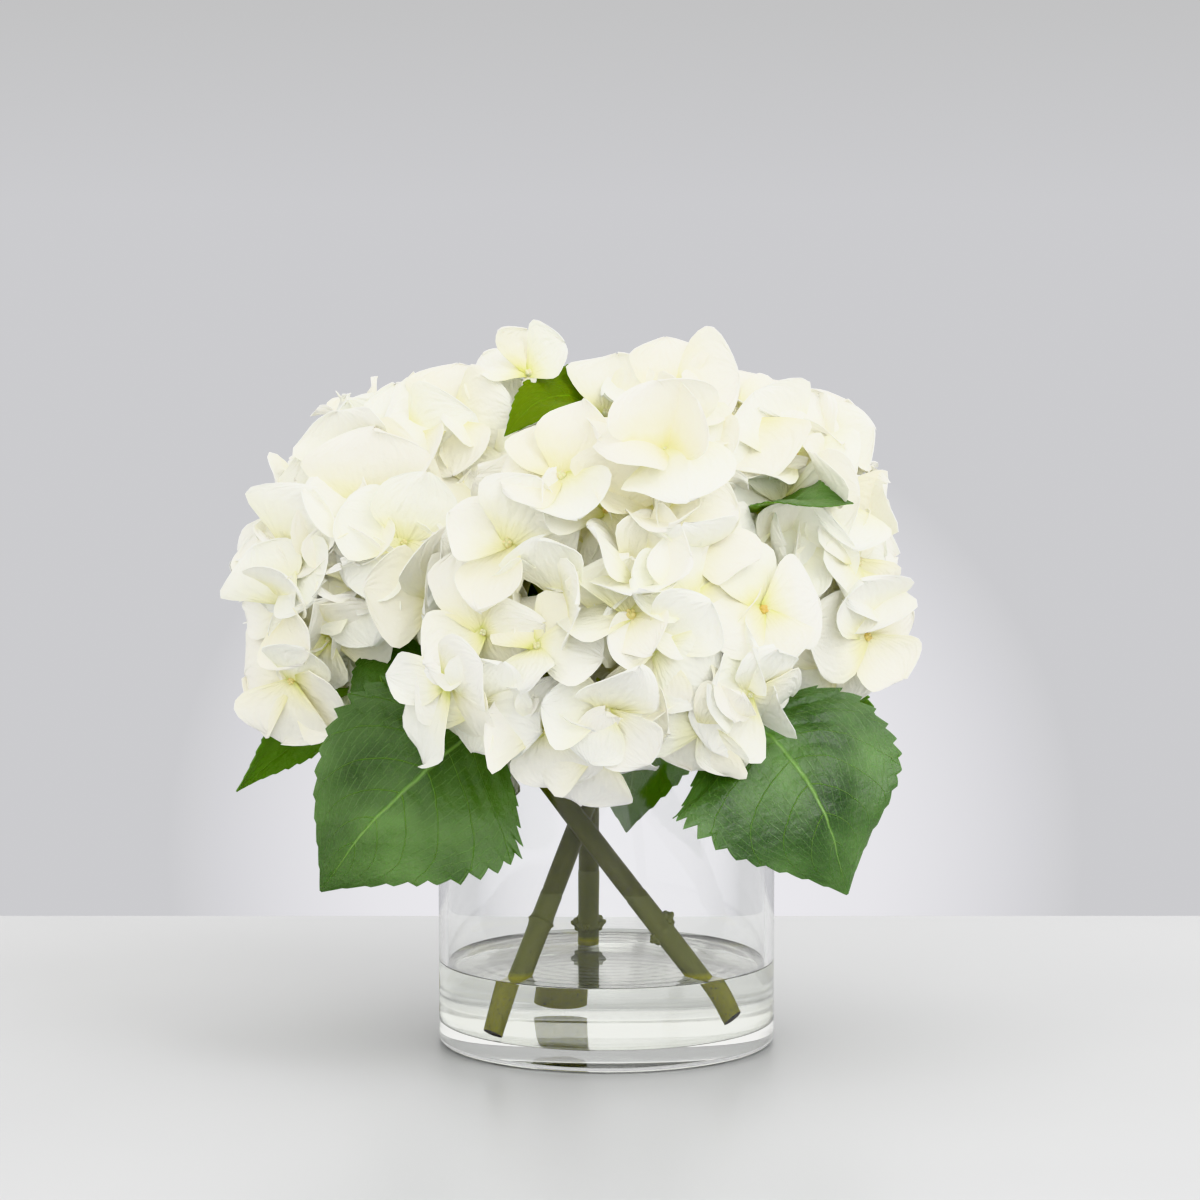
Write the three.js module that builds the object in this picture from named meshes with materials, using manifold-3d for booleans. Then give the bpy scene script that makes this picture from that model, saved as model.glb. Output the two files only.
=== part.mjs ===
// Hydrangea centrepiece: three cream heads on crossed stems, with toothed leaves, in a low round
// glass vase that holds a shallow layer of clear set water.
// Millimetres, +Z up. The origin is the centre of the vase's flat underside and the front faces -Y.
import * as THREE from 'three';
import { mergeVertices } from 'three/addons/utils/BufferGeometryUtils.js';
import Module from 'manifold-3d';

const wasm = await Module();
wasm.setup();

// ---------------------------------------------------------------- driving dimensions

const CLEARANCE = 0.3; // gap that neighbouring pieces keep
const VASE = { radius: 76.2, height: 152, wall: 4, base: 9, footRound: 2.5, rimRound: 1.4, sides: 40 };
const BASE_FILLET = 5; // round between the wall and the base, inside
const WATER_TOP = 37.4;
const STEM = { radius: 5, sides: 10, steps: 5, pith: 1.6, pithDepth: 2.5, pithSides: 6 };
const PETIOLE = { radius: 1.7, sides: 5, steps: 4, sunk: 0.07 };
const LEAF = { thickness: 0.8, teeth: 10, toothDepth: 0.05, toothLean: 0.35, ribPoints: 5 };
const FLORET = { thickness: 0.8, notch: 0.2, pedicelTop: 1.9, pedicelFoot: 3.6, pedicelSides: 3 };
const CORE = { share: 0.64, around: 12, rows: 8 }; // branchy middle of a head, as a share of its radius

// Outline of a petal: [way out, half width] as shares of its length, from its root to its tip.
const PETAL_OUTLINE = [[0.72, 0.44], [1, 0]];
const PETALS = 4;

// Stem centrelines from the cut foot to the top inside the head.
const STEMS = {
  stem_left_head: [[52.5, -41, 18], [38.9, -37.5, 38], [-10.8, -22.5, 101], [-79, -4, 189]],
  stem_right_head: [[-47, -44.5, 12], [-37.7, -38, 37], [-12.2, -10, 101.5], [24, 27, 193]],
  stem_front_head: [[-8.6, 61, 15], [-8.2, 22, 106], [-10.2, 8, 132], [-11, -27, 188]],
};
// Thicker places on a stem: share of its length, radius, half height, and side buds by angle.
const STEM_NODES = {
  stem_left_head: [{ at: 0.27, ring: 5.6, half: 2.6, buds: [75, 255] }],
  stem_right_head: [{ at: 0.3, ring: 5.9, half: 1.8, buds: [] }],
  stem_front_head: [{ at: 0.2, ring: 6.1, half: 2.8, buds: [0, 180] }],
};
const BUD_RADIUS = 2.7;

// Heads as balls. A floret by hand is [x, y, z, facing azimuth, facing elevation, roll, length, cup]:
// azimuth 0 faces the front and 90 faces +X; angles are in degrees.
const HEADS = [
  {
    name: 'hydrangea_head_left', centre: [-76, 24, 216], radius: 80, seed: 3,
    florets: [
      [-78, -42, 212, 8, -4, 20, 32, 38],
      [-134, -24, 171, -24, -16, 12, 40, 20],
      [-104, -34, 246, -12, 26, 40, 34, 16],
      [-145, 4, 232, -58, 10, 0, 34, 20],
      [-131, -8, 209, -34, 6, 20, 28, 24],
      [-149, 14, 197, -66, -6, 30, 33, 26],
      [-88, 10, 290, -10, 56, 15, 31, 24],
      [-38, 18, 298, 8, 60, 50, 30, 34],
      [-48, -30, 238, 10, 20, 10, 30, 34],
      [-108, -32, 203, -20, 2, 60, 30, 30],
      [-113, -12, 266, -30, 42, 25, 30, 24],
      [-66, -20, 270, -4, 38, 65, 31, 30],
    ],
  },
  {
    name: 'hydrangea_head_right', centre: [46, 28, 224], radius: 80, seed: 11,
    florets: [
      [28, -34, 266, -6, 30, 35, 36, 42],
      [26, 16, 294, 0, 60, 0, 32, 40],
      [68, 8, 288, 14, 56, 40, 31, 24],
      [92, -18, 262, 36, 28, 10, 31, 24],
      [115, 12, 236, 62, 14, 45, 30, 26],
      [86, -32, 206, 26, 4, 20, 31, 30],
      [117, 0, 193, 36, -8, 8, 33, 14],
      [107, -6, 175, 22, -18, 30, 29, 18],
      [62, -40, 238, 8, 22, 55, 31, 28],
      [8, -16, 288, -12, 48, 70, 30, 24],
    ],
  },
  {
    name: 'hydrangea_head_front', centre: [4, -56, 194], radius: 76, seed: 23,
    florets: [
      [9, -122, 208, 0, 52, 45, 30, 4],
      [-30, -114, 196, -14, 22, 10, 26, 26],
      [22, -120, 182, 8, -12, 0, 32, 12],
      [-2, -112, 152, -10, -34, 30, 29, 30],
      [58, -98, 190, 36, 26, 20, 32, 34],
      [40, -102, 154, 20, -34, 0, 31, 18],
      [20, -94, 246, 8, 58, 20, 31, 12],
      [-24, -78, 254, -10, 42, 60, 32, 40],
      [-48, -96, 212, -36, 8, 0, 31, 22],
      [-64, -92, 168, -40, -20, 20, 30, 18],
      [-34, -96, 146, -16, -36, 45, 28, 14],
      [-2, -88, 134, 0, -62, 10, 27, 26],
      [46, -96, 222, 24, 26, 0, 30, 26],
    ],
  },
];
const FLORET_RULE = {
  count: 28, low: 0.77, step: 0.05, levels: 3, sway: 0.3, length: 28, lengthSpread: 3, cup: 12, cupSpread: 14,
};
const FLORET_SPACE = 31; // a floret placed by the rule keeps this far from those placed by hand
const STEM_SPACE = 15; // and this far from the stems' middles
const LOWEST_FACING = -0.74; // no floret closes the underside, where the stem comes in
const RIM_INNER = 70.5; // petals near the rim hang inside this radius
const RIM_OUTER = 78.2; // or outside this one
const RIM_CLEAR_TOP = 155;

// Leaves: midrib from base to tip, way the upper face looks, half widths to the left and right of
// it, rise of the margins, wave, and petiole points down to the stem it grows from.
const LEAVES = [
  {
    name: 'leaf_front_left', stem: 'stem_front_head',
    midrib: [[-52, -71, 153], [-72, -79, 135], [-98, -86, 108], [-124, -86, 82]],
    face: [-0.25, -0.9, 0.4], half: [48, 47], rise: -0.1, wave: 2.2,
    petiole: [[-11, -12, 166], [-32, -44, 166]],
  },
  {
    name: 'leaf_front_right', stem: 'stem_front_head',
    midrib: [[57, -66, 158], [78, -84, 144], [95, -95, 114], [104, -88, 81]],
    face: [0.35, -0.85, 0.45], half: [43, 50], rise: -0.14, wave: 2.4,
    petiole: [[-11, -16, 171], [28, -44, 168]],
  },
  {
    name: 'leaf_back_centre', stem: 'stem_right_head',
    midrib: [[14, 82, 158], [15, 92, 138], [13, 95, 110], [10, 92, 80]],
    face: [0.05, 0.95, 0.3], half: [38, 37], rise: -0.1, wave: 2,
    petiole: [[10, 12.5, 157], [13, 52, 164]],
  },
  {
    name: 'leaf_far_left', stem: 'stem_left_head',
    midrib: [[-100, -2, 158], [-122, 2, 147], [-146, 4, 132], [-168, 0, 113]],
    face: [-0.45, 0.75, 0.5], half: [27, 27], rise: -0.2, wave: 1.6,
    petiole: [[-55, -10.5, 158], [-76, -8, 160]],
  },
  {
    name: 'leaf_under_left', stem: 'stem_left_head',
    midrib: [[-74, -26, 170], [-87, -34, 171], [-101, -43, 166], [-113, -50, 156]],
    face: [-0.15, -0.75, 0.65], half: [23, 23], rise: 0.1, wave: 1.6,
    petiole: [[-61, -9, 166], [-68, -18, 168]],
  },
  {
    name: 'leaf_top', stem: 'stem_right_head',
    midrib: [[-2, 4, 280], [-16, -12, 293], [-31, -30, 291], [-45, -46, 277]],
    face: [-0.35, -0.55, 0.76], half: [20, 21], rise: 0.12, wave: 1.5,
    petiole: [[20, 23, 185], [8, 12, 236]],
  },
  {
    name: 'leaf_right_gap', stem: 'stem_right_head',
    midrib: [[66, -36, 243], [78, -46, 248], [92, -53, 250], [108, -52, 248]],
    face: [0.2, -0.5, 0.85], half: [20, 20], rise: 0.15, wave: 1.5,
    petiole: [[21, 24, 187], [46, -18, 222]],
  },
  {
    name: 'leaf_mid_gap', stem: 'stem_front_head',
    midrib: [[-24, -36, 188], [-27, -50, 200], [-29, -63, 212], [-30, -75, 225]],
    face: [-0.3, -0.85, 0.35], half: [15, 15], rise: 0.1, wave: 1,
    petiole: [[-11, -16, 171], [-20, -24, 180]],
  },
  {
    name: 'leaf_back_left', stem: 'stem_left_head',
    midrib: [[-76, 58, 152], [-88, 78, 140], [-100, 92, 120], [-108, 98, 96]],
    face: [-0.5, 0.75, 0.45], half: [33, 33], rise: -0.1, wave: 2,
    petiole: [[-56, -10, 160], [-66, 28, 164]],
  },
  {
    name: 'leaf_back_right', stem: 'stem_right_head',
    midrib: [[76, 52, 158], [94, 66, 150], [112, 78, 132], [124, 84, 106]],
    face: [0.55, 0.65, 0.5], half: [32, 33], rise: -0.1, wave: 2,
    petiole: [[12.5, 15, 163], [46, 36, 167]],
  },
];

const COLOURS = {
  glass: 0xdfe8e6,
  water: 0xe8efec,
  stem: 0x6c7a3c,
  leaf: 0x2f6b2c,
  petal: 0xf6f2e0,
};

// ---------------------------------------------------------------- small helpers

const rad = THREE.MathUtils.degToRad;
const vec = (p) => new THREE.Vector3(...p);

// A repeatable number from 0 to 1 for the pair i, k.
function draw(i, k) {
  const s = Math.sin(i * 127.1 + k * 311.7) * 43758.5453;
  return s - Math.floor(s);
}

// Unit vector that faces an azimuth and elevation in degrees; azimuth 0 is the front.
function facingOf(azimuth, elevation) {
  const az = rad(azimuth);
  const el = rad(elevation);
  return new THREE.Vector3(Math.sin(az) * Math.cos(el), -Math.cos(az) * Math.cos(el), Math.sin(el));
}

function smoothPath(points) {
  return new THREE.CatmullRomCurve3(points.map(vec), false, 'catmullrom', 0.5);
}

// Closed solid of a closed geometry, with the triangles that shrink to a line left out.
function solidOf(geometry) {
  const bare = geometry.clone();
  bare.deleteAttribute('normal');
  bare.deleteAttribute('uv');
  const merged = mergeVertices(bare, 1e-4);
  const corner = merged.index.array;
  const triVerts = [];
  for (let i = 0; i < corner.length; i += 3) {
    const [a, b, c] = [corner[i], corner[i + 1], corner[i + 2]];
    if (a !== b && b !== c && c !== a) triVerts.push(a, b, c);
  }
  return new wasm.Manifold(new wasm.Mesh({
    numProp: 3,
    vertProperties: Float32Array.from(merged.attributes.position.array),
    triVerts: Uint32Array.from(triVerts),
  }));
}

function geometryOf(solid) {
  const mesh = solid.getMesh();
  const geometry = new THREE.BufferGeometry();
  geometry.setAttribute('position', new THREE.BufferAttribute(mesh.vertProperties, mesh.numProp));
  geometry.setIndex(new THREE.BufferAttribute(mesh.triVerts, 1));
  geometry.computeVertexNormals();
  return geometry;
}

function largestOf(solid) {
  return solid.decompose().reduce((best, one) => (one.volume() > best.volume() ? one : best));
}

// Closed blade: a sheet of points with its own normals, made thick alike on both faces.
// loop lists the sheet's margin in the faces' turning sense.
function bladeOf(points, normals, faces, loop, thickness) {
  const count = points.length;
  const position = [];
  for (const side of [0.5, -0.5]) {
    points.forEach((p, i) => {
      position.push(...p.clone().addScaledVector(normals[i], side * thickness).toArray());
    });
  }
  const index = [];
  for (const [a, b, c] of faces) {
    index.push(a, b, c, a + count, c + count, b + count);
  }
  loop.forEach((a, i) => {
    const b = loop[(i + 1) % loop.length];
    index.push(a, a + count, b, b, a + count, b + count);
  });
  const geometry = new THREE.BufferGeometry();
  geometry.setAttribute('position', new THREE.Float32BufferAttribute(position, 3));
  geometry.setIndex(index);
  return geometry;
}

// Turned solid: profile of [radius, height] that starts and ends on the axis.
function turned(profile, sides) {
  const points = profile.map(([r, z]) => new THREE.Vector2(r, z));
  return new THREE.LatheGeometry(points, sides).rotateX(Math.PI / 2);
}

// Arc of [radius, height] points round a centre, from one angle to another in degrees.
function arc(r, z, radius, from, to, steps) {
  const points = [];
  for (let i = 0; i <= steps; i += 1) {
    const angle = rad(from + ((to - from) * i) / steps);
    points.push([r + radius * Math.cos(angle), z + radius * Math.sin(angle)]);
  }
  return points;
}

// Round rod along a smooth path.
function rod(points, radius, sides, steps) {
  const section = new THREE.Shape();
  for (let i = 0; i < sides; i += 1) {
    const angle = (2 * Math.PI * i) / sides;
    const [x, y] = [radius * Math.cos(angle), radius * Math.sin(angle)];
    if (i === 0) section.moveTo(x, y);
    else section.lineTo(x, y);
  }
  return new THREE.ExtrudeGeometry(section, { steps, extrudePath: smoothPath(points), bevelEnabled: false });
}

// ---------------------------------------------------------------- vase and water

function vaseProfile(gap) {
  const { radius, height, wall, base, footRound, rimRound } = VASE;
  const outer = radius + gap;
  const inner = radius - wall - gap;
  return [
    [0, -gap],
    ...arc(outer - footRound, footRound - gap, footRound, -90, 0, 3),
    ...arc(outer - rimRound, height + gap - rimRound, rimRound, 0, 90, 2),
    ...arc(inner + rimRound, height + gap - rimRound, rimRound, 90, 180, 2),
    ...arc(inner - BASE_FILLET, base + gap + BASE_FILLET, BASE_FILLET, 0, -90, 3),
    [0, base + gap],
  ];
}

function vaseSolid(gap = 0) {
  return solidOf(turned(vaseProfile(gap), VASE.sides));
}

function waterSolid() {
  const inner = VASE.radius - VASE.wall - CLEARANCE;
  const floor = VASE.base + CLEARANCE;
  const body = solidOf(turned([
    [0, floor],
    ...arc(inner - BASE_FILLET, floor + BASE_FILLET, BASE_FILLET, -90, 0, 3),
    [inner, WATER_TOP],
    [0, WATER_TOP],
  ], VASE.sides));
  return Object.keys(STEMS).reduce((left, name) => left.subtract(stemClearance(name)), body);
}

// ---------------------------------------------------------------- stems

// The stem's path, longer by gap at both ends.
function stemPath(name, gap) {
  const points = STEMS[name].map(vec);
  const last = points.length - 1;
  const footWay = points[0].clone().sub(points[1]).normalize();
  const topWay = points[last].clone().sub(points[last - 1]).normalize();
  points[0].addScaledVector(footWay, gap);
  points[last].addScaledVector(topWay, gap);
  return points.map((p) => p.toArray());
}

function stemNodes(name, gap) {
  const path = smoothPath(STEMS[name]);
  const lumps = [];
  for (const node of STEM_NODES[name]) {
    const place = path.getPointAt(node.at);
    const turn = new THREE.Quaternion().setFromUnitVectors(new THREE.Vector3(0, 1, 0), path.getTangentAt(node.at));
    const ring = new THREE.SphereGeometry(1, STEM.sides, 4);
    ring.scale(node.ring + gap, node.half + gap, node.ring + gap);
    lumps.push(ring.applyQuaternion(turn).translate(...place.toArray()));
    for (const angle of node.buds) {
      const out = new THREE.Vector3(Math.cos(rad(angle)), 0, Math.sin(rad(angle))).applyQuaternion(turn);
      const bud = new THREE.SphereGeometry(BUD_RADIUS + gap, 6, 4);
      lumps.push(bud.translate(...place.clone().addScaledVector(out, STEM.radius).toArray()));
    }
  }
  return lumps.map(solidOf);
}

function stemClearance(name) {
  const grown = STEM.radius + CLEARANCE;
  const shaft = solidOf(rod(stemPath(name, CLEARANCE), grown, STEM.sides, STEM.steps));
  return shaft.add(wasm.Manifold.union(stemNodes(name, CLEARANCE)));
}

// The pith has shrunk back into the cut foot and leaves a small pit.
function stemSolid(name) {
  const shaft = solidOf(rod(STEMS[name], STEM.radius, STEM.sides, STEM.steps));
  const whole = shaft.add(wasm.Manifold.union(stemNodes(name, 0)));
  const foot = vec(STEMS[name][0]);
  const way = vec(STEMS[name][1]).sub(foot).normalize();
  const pit = new THREE.CylinderGeometry(STEM.pith, STEM.pith, 2 * STEM.pithDepth, STEM.pithSides);
  pit.applyQuaternion(new THREE.Quaternion().setFromUnitVectors(new THREE.Vector3(0, 1, 0), way));
  return whole.subtract(solidOf(pit.translate(...foot.toArray())));
}

// ---------------------------------------------------------------- leaves

// Half width of an ovate leaf along its midrib, as a share of its widest.
function leafWidth(u) {
  return Math.sin(Math.PI * u ** 0.78) ** 0.8 * (1 - 0.25 * u ** 5);
}

// Point of a leaf at u along the midrib and side s, from -1 to 1, with its normal.
function leafPoint(leaf, path, u, s, reach) {
  const along = path.getTangent(u);
  const across = vec(leaf.face).cross(along).normalize();
  const up = along.clone().cross(across).normalize();
  const half = leaf.half[s < 0 ? 0 : 1] * leafWidth(u) * reach;
  const ripple = leaf.wave * Math.sin(9 * u + 2 * Math.sign(s)) * s * s * leafWidth(u);
  const lift = leaf.rise * half * Math.abs(s) + ripple;
  const point = path.getPoint(u).addScaledVector(across, s * half).addScaledVector(up, lift);
  return { point, normal: up };
}

// Sheet of a leaf: rib points and a toothed margin on each side, grow further out.
function leafSheet(leaf, path, grow) {
  const points = [];
  const normals = [];
  const put = (u, s, reach) => {
    const { point, normal } = leafPoint(leaf, path, u, s, reach);
    points.push(point);
    normals.push(normal);
    return points.length - 1;
  };
  const rib = [];
  for (let j = 0; j <= LEAF.ribPoints; j += 1) rib.push(put(j / LEAF.ribPoints, 0, 1));
  const edges = 2 * LEAF.teeth;
  const margins = [-1, 1].map((side) => {
    const margin = [rib[0]];
    for (let i = 1; i < edges; i += 1) {
      const tooth = i % 2 === 1;
      const u = (i + (tooth ? LEAF.toothLean : 0)) / edges;
      const depth = tooth ? LEAF.toothDepth : -LEAF.toothDepth / 2;
      margin.push(put(u, side, 1 + depth + grow / leaf.half[0]));
    }
    return [...margin, rib[LEAF.ribPoints]];
  });
  return { points, normals, rib, margins };
}

function leafFaces({ rib, margins }) {
  const span = (margins[0].length - 1) / LEAF.ribPoints;
  const faces = [];
  const add = (flip, a, b, c) => {
    if (a !== b && b !== c && c !== a) faces.push(flip ? [a, c, b] : [a, b, c]);
  };
  margins.forEach((margin, side) => {
    for (let j = 0; j < LEAF.ribPoints; j += 1) {
      const middle = j * span + Math.ceil(span / 2);
      for (let e = j * span; e < (j + 1) * span; e += 1) {
        add(side === 1, rib[e < middle ? j : j + 1], margin[e], margin[e + 1]);
      }
      add(side === 1, rib[j], margin[middle], rib[j + 1]);
    }
  });
  return faces;
}

function leafBlade(leaf, path, grow) {
  const sheet = leafSheet(leaf, path, grow);
  const [left, right] = sheet.margins;
  const loop = [...left, ...right.slice(1, -1).reverse()];
  return bladeOf(sheet.points, sheet.normals, leafFaces(sheet), loop, LEAF.thickness + 2 * grow);
}

function leafBody(leaf, grow) {
  const path = smoothPath(leaf.midrib);
  const root = path.getPoint(PETIOLE.sunk + (2 * grow) / path.getLength()).toArray();
  const stalk = rod([...leaf.petiole, root], PETIOLE.radius + grow, PETIOLE.sides, PETIOLE.steps);
  return solidOf(leafBlade(leaf, path, grow)).add(solidOf(stalk));
}

function leafSolid(leaf) {
  return largestOf(leafBody(leaf, 0).subtract(stemClearance(leaf.stem)));
}

// ---------------------------------------------------------------- flower heads

// Moves a point below the rim's top clear of the glass, in or out as its floret hangs.
function clearOfRim(point, outside) {
  const out = Math.hypot(point.x, point.y);
  if (point.z > RIM_CLEAR_TOP) return point;
  if (outside && out < RIM_OUTER) point.multiply(new THREE.Vector3(RIM_OUTER / out, RIM_OUTER / out, 1));
  if (!outside && out > RIM_INNER) point.multiply(new THREE.Vector3(RIM_INNER / out, RIM_INNER / out, 1));
  return point;
}

// Frame and size of each of a floret's petals: the way out, across and up, and its length.
function petalsOf(floret) {
  const facing = floret.facing;
  const aside = new THREE.Vector3(0, 0, 1).cross(facing);
  if (aside.length() < 0.1) aside.set(1, 0, 0);
  const right = aside.normalize();
  const upward = facing.clone().cross(right);
  const petals = [];
  for (let k = 0; k < PETALS; k += 1) {
    const turn = rad(floret.roll + (360 * k) / PETALS + 14 * (draw(floret.seed, k + 10) - 0.5));
    const pitch = rad(floret.cup + 18 * (draw(floret.seed, k + 20) - 0.5));
    const out = right.clone().multiplyScalar(Math.cos(turn)).addScaledVector(upward, Math.sin(turn));
    const across = right.clone().multiplyScalar(-Math.sin(turn)).addScaledVector(upward, Math.cos(turn));
    const way = out.clone().multiplyScalar(Math.cos(pitch)).addScaledVector(facing, Math.sin(pitch));
    const up = out.clone().multiplyScalar(-Math.sin(pitch)).addScaledVector(facing, Math.cos(pitch));
    const length = floret.length * (0.84 + 0.16 * draw(floret.seed, k + 30));
    petals.push({ turn, way, across, up, length });
  }
  return petals;
}

// Point of a petal a share r of the way out and w to the side, in lengths: the sides turn up and
// the tip turns back.
function petalPoint(floret, petal, r, w) {
  const rise = 0.45 * w * w - 0.16 * r * r;
  return floret.centre.clone()
    .addScaledVector(petal.way, r * petal.length)
    .addScaledVector(petal.across, w * petal.length)
    .addScaledVector(petal.up, rise * petal.length);
}

function floretBlade(floret) {
  const petals = petalsOf(floret);
  const points = [floret.centre.clone()];
  const normals = [floret.facing];
  const put = (point, normal) => {
    points.push(clearOfRim(point, floret.outside));
    normals.push(normal);
    return points.length - 1;
  };
  const notches = petals.map((petal, k) => {
    const next = petals[(k + 1) % PETALS];
    const way = petal.way.clone().multiplyScalar(petal.length).addScaledVector(next.way, next.length);
    return put(floret.centre.clone().addScaledVector(way, FLORET.notch / Math.SQRT2), floret.facing);
  });
  const faces = [];
  const loop = [];
  petals.forEach((petal, k) => {
    const sides = PETAL_OUTLINE.filter(([, half]) => half > 0);
    const rising = PETAL_OUTLINE.map(([r, half]) => put(petalPoint(floret, petal, r, -half), petal.up));
    const falling = sides.map(([r, half]) => put(petalPoint(floret, petal, r, half), petal.up)).reverse();
    const before = notches[(k + PETALS - 1) % PETALS];
    const around = [before, ...rising, ...falling, notches[k]];
    around.slice(1).forEach((b, i) => faces.push([0, around[i], b]));
    loop.push(...around.slice(0, -1));
  });
  return bladeOf(points, normals, faces, loop, FLORET.thickness);
}

// Stalk of a floret, from inside the head's core to its middle.
function pedicel(floret, head) {
  const middle = vec(head.centre);
  const inward = middle.clone().sub(floret.centre);
  const reach = inward.length() - head.radius * CORE.share * 0.8;
  inward.normalize();
  const stalk = new THREE.CylinderGeometry(FLORET.pedicelFoot, FLORET.pedicelTop, reach, FLORET.pedicelSides);
  stalk.translate(0, reach / 2, 0);
  stalk.applyQuaternion(new THREE.Quaternion().setFromUnitVectors(new THREE.Vector3(0, 1, 0), inward));
  return stalk.translate(...floret.centre.toArray());
}

function floretByHand(spec, head, i) {
  const [x, y, z, azimuth, elevation, roll, length, cup] = spec;
  return {
    centre: new THREE.Vector3(x, y, z), facing: facingOf(azimuth, elevation), roll, length, cup,
    seed: head.seed + i / 7, outside: Math.hypot(x, y) > (RIM_INNER + RIM_OUTER) / 2 - 8,
  };
}

// Signed distance of a point past the plane that parts a head from its neighbour.
function pastPlane(point, head, other) {
  const between = vec(other.centre).sub(vec(head.centre));
  const share = head.radius / (head.radius + other.radius);
  const onPlane = vec(head.centre).addScaledVector(between, share);
  return point.clone().sub(onPlane).dot(between.normalize());
}

function isFree(centre, head, placed) {
  const clearOfOthers = HEADS.every((other) => other === head || pastPlane(centre, head, other) < -6);
  const clearOfHand = placed.every((one) => one.centre.distanceTo(centre) > FLORET_SPACE);
  const clearOfStems = Object.values(STEMS).every((points) => smoothPath(points).getPoints(24)
    .every((p) => p.distanceTo(centre) > STEM_SPACE));
  return clearOfOthers && clearOfHand && clearOfStems;
}

// Florets of a head: those placed by hand, then the rule's, spread evenly over the ball.
function floretsOf(head) {
  const placed = head.florets.map((spec, i) => floretByHand(spec, head, i));
  const rule = FLORET_RULE;
  const golden = Math.PI * (3 - Math.sqrt(5));
  for (let i = 0; i < rule.count; i += 1) {
    const seed = head.seed * 10 + i;
    const z = 1 - (2 * (i + 0.5)) / rule.count;
    const around = golden * i + head.seed;
    const flat = Math.sqrt(1 - z * z);
    const way = new THREE.Vector3(flat * Math.cos(around), flat * Math.sin(around), z);
    const height = rule.low + rule.step * (i % rule.levels);
    const centre = vec(head.centre).addScaledVector(way, head.radius * height);
    if (z < LOWEST_FACING || !isFree(centre, head, placed)) continue;
    const sway = new THREE.Vector3(draw(seed, 2) - 0.5, draw(seed, 3) - 0.5, draw(seed, 4) - 0.4);
    placed.push({
      centre, facing: way.clone().addScaledVector(sway, rule.sway).normalize(), roll: 90 * draw(seed, 5),
      length: rule.length + rule.lengthSpread * draw(seed, 6), cup: rule.cup + rule.cupSpread * draw(seed, 7),
      seed, outside: Math.hypot(centre.x, centre.y) > (RIM_INNER + RIM_OUTER) / 2 - 8,
    });
  }
  return placed;
}

// Everything on the far side of the plane between two heads.
function beyondPlane(head, other) {
  const between = vec(other.centre).sub(vec(head.centre));
  const share = head.radius / (head.radius + other.radius);
  const size = 6 * head.radius;
  const slab = new THREE.BoxGeometry(size, size, size).translate(0, 0, size / 2 - CLEARANCE / 2);
  const way = between.clone().normalize();
  slab.applyQuaternion(new THREE.Quaternion().setFromUnitVectors(new THREE.Vector3(0, 0, 1), way));
  return solidOf(slab.translate(...vec(head.centre).addScaledVector(between, share).toArray()));
}

function headSolid(head) {
  const core = new THREE.SphereGeometry(head.radius * CORE.share, CORE.around, CORE.rows);
  const pieces = [solidOf(core.translate(...head.centre))];
  for (const floret of floretsOf(head)) {
    pieces.push(solidOf(floretBlade(floret)), solidOf(pedicel(floret, head)));
  }
  let whole = wasm.Manifold.union(pieces);
  for (const other of HEADS) {
    if (other !== head) whole = whole.subtract(beyondPlane(head, other));
  }
  for (const name of Object.keys(STEMS)) whole = whole.subtract(stemClearance(name));
  for (const leaf of LEAVES) whole = whole.subtract(leafBody(leaf, CLEARANCE));
  return largestOf(whole.subtract(vaseSolid(CLEARANCE)));
}

// ---------------------------------------------------------------- the arrangement

function finish(colour, roughness, extra = {}) {
  return new THREE.MeshStandardMaterial({ color: colour, roughness, metalness: 0, ...extra });
}

function addPiece(group, name, solid, material) {
  const mesh = new THREE.Mesh(geometryOf(solid), material);
  mesh.name = name;
  group.add(mesh);
}

const arrangement = new THREE.Group();
const vessel = new THREE.Group();
const flowers = new THREE.Group();
const foliage = new THREE.Group();
arrangement.add(vessel, flowers, foliage);

addPiece(vessel, 'glass_vase', vaseSolid(), finish(COLOURS.glass, 0.04, { transparent: true, opacity: 0.35 }));
addPiece(vessel, 'set_water', waterSolid(), finish(COLOURS.water, 0.03, { transparent: true, opacity: 0.4 }));
for (const name of Object.keys(STEMS)) addPiece(foliage, name, stemSolid(name), finish(COLOURS.stem, 0.6));
for (const leaf of LEAVES) addPiece(foliage, leaf.name, leafSolid(leaf), finish(COLOURS.leaf, 0.5));
for (const head of HEADS) addPiece(flowers, head.name, headSolid(head), finish(COLOURS.petal, 0.75));

export default arrangement;
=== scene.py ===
"""Hydrangea centrepiece: three cream heads and toothed leaves on crossed stems, in a low glass vase.

Metres, +Z up, the front faces -Y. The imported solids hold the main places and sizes. The pieces here are
finer versions of them: thin veined petals, leaf blades with fine teeth, turned glass and clear water.
"""
import math

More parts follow.
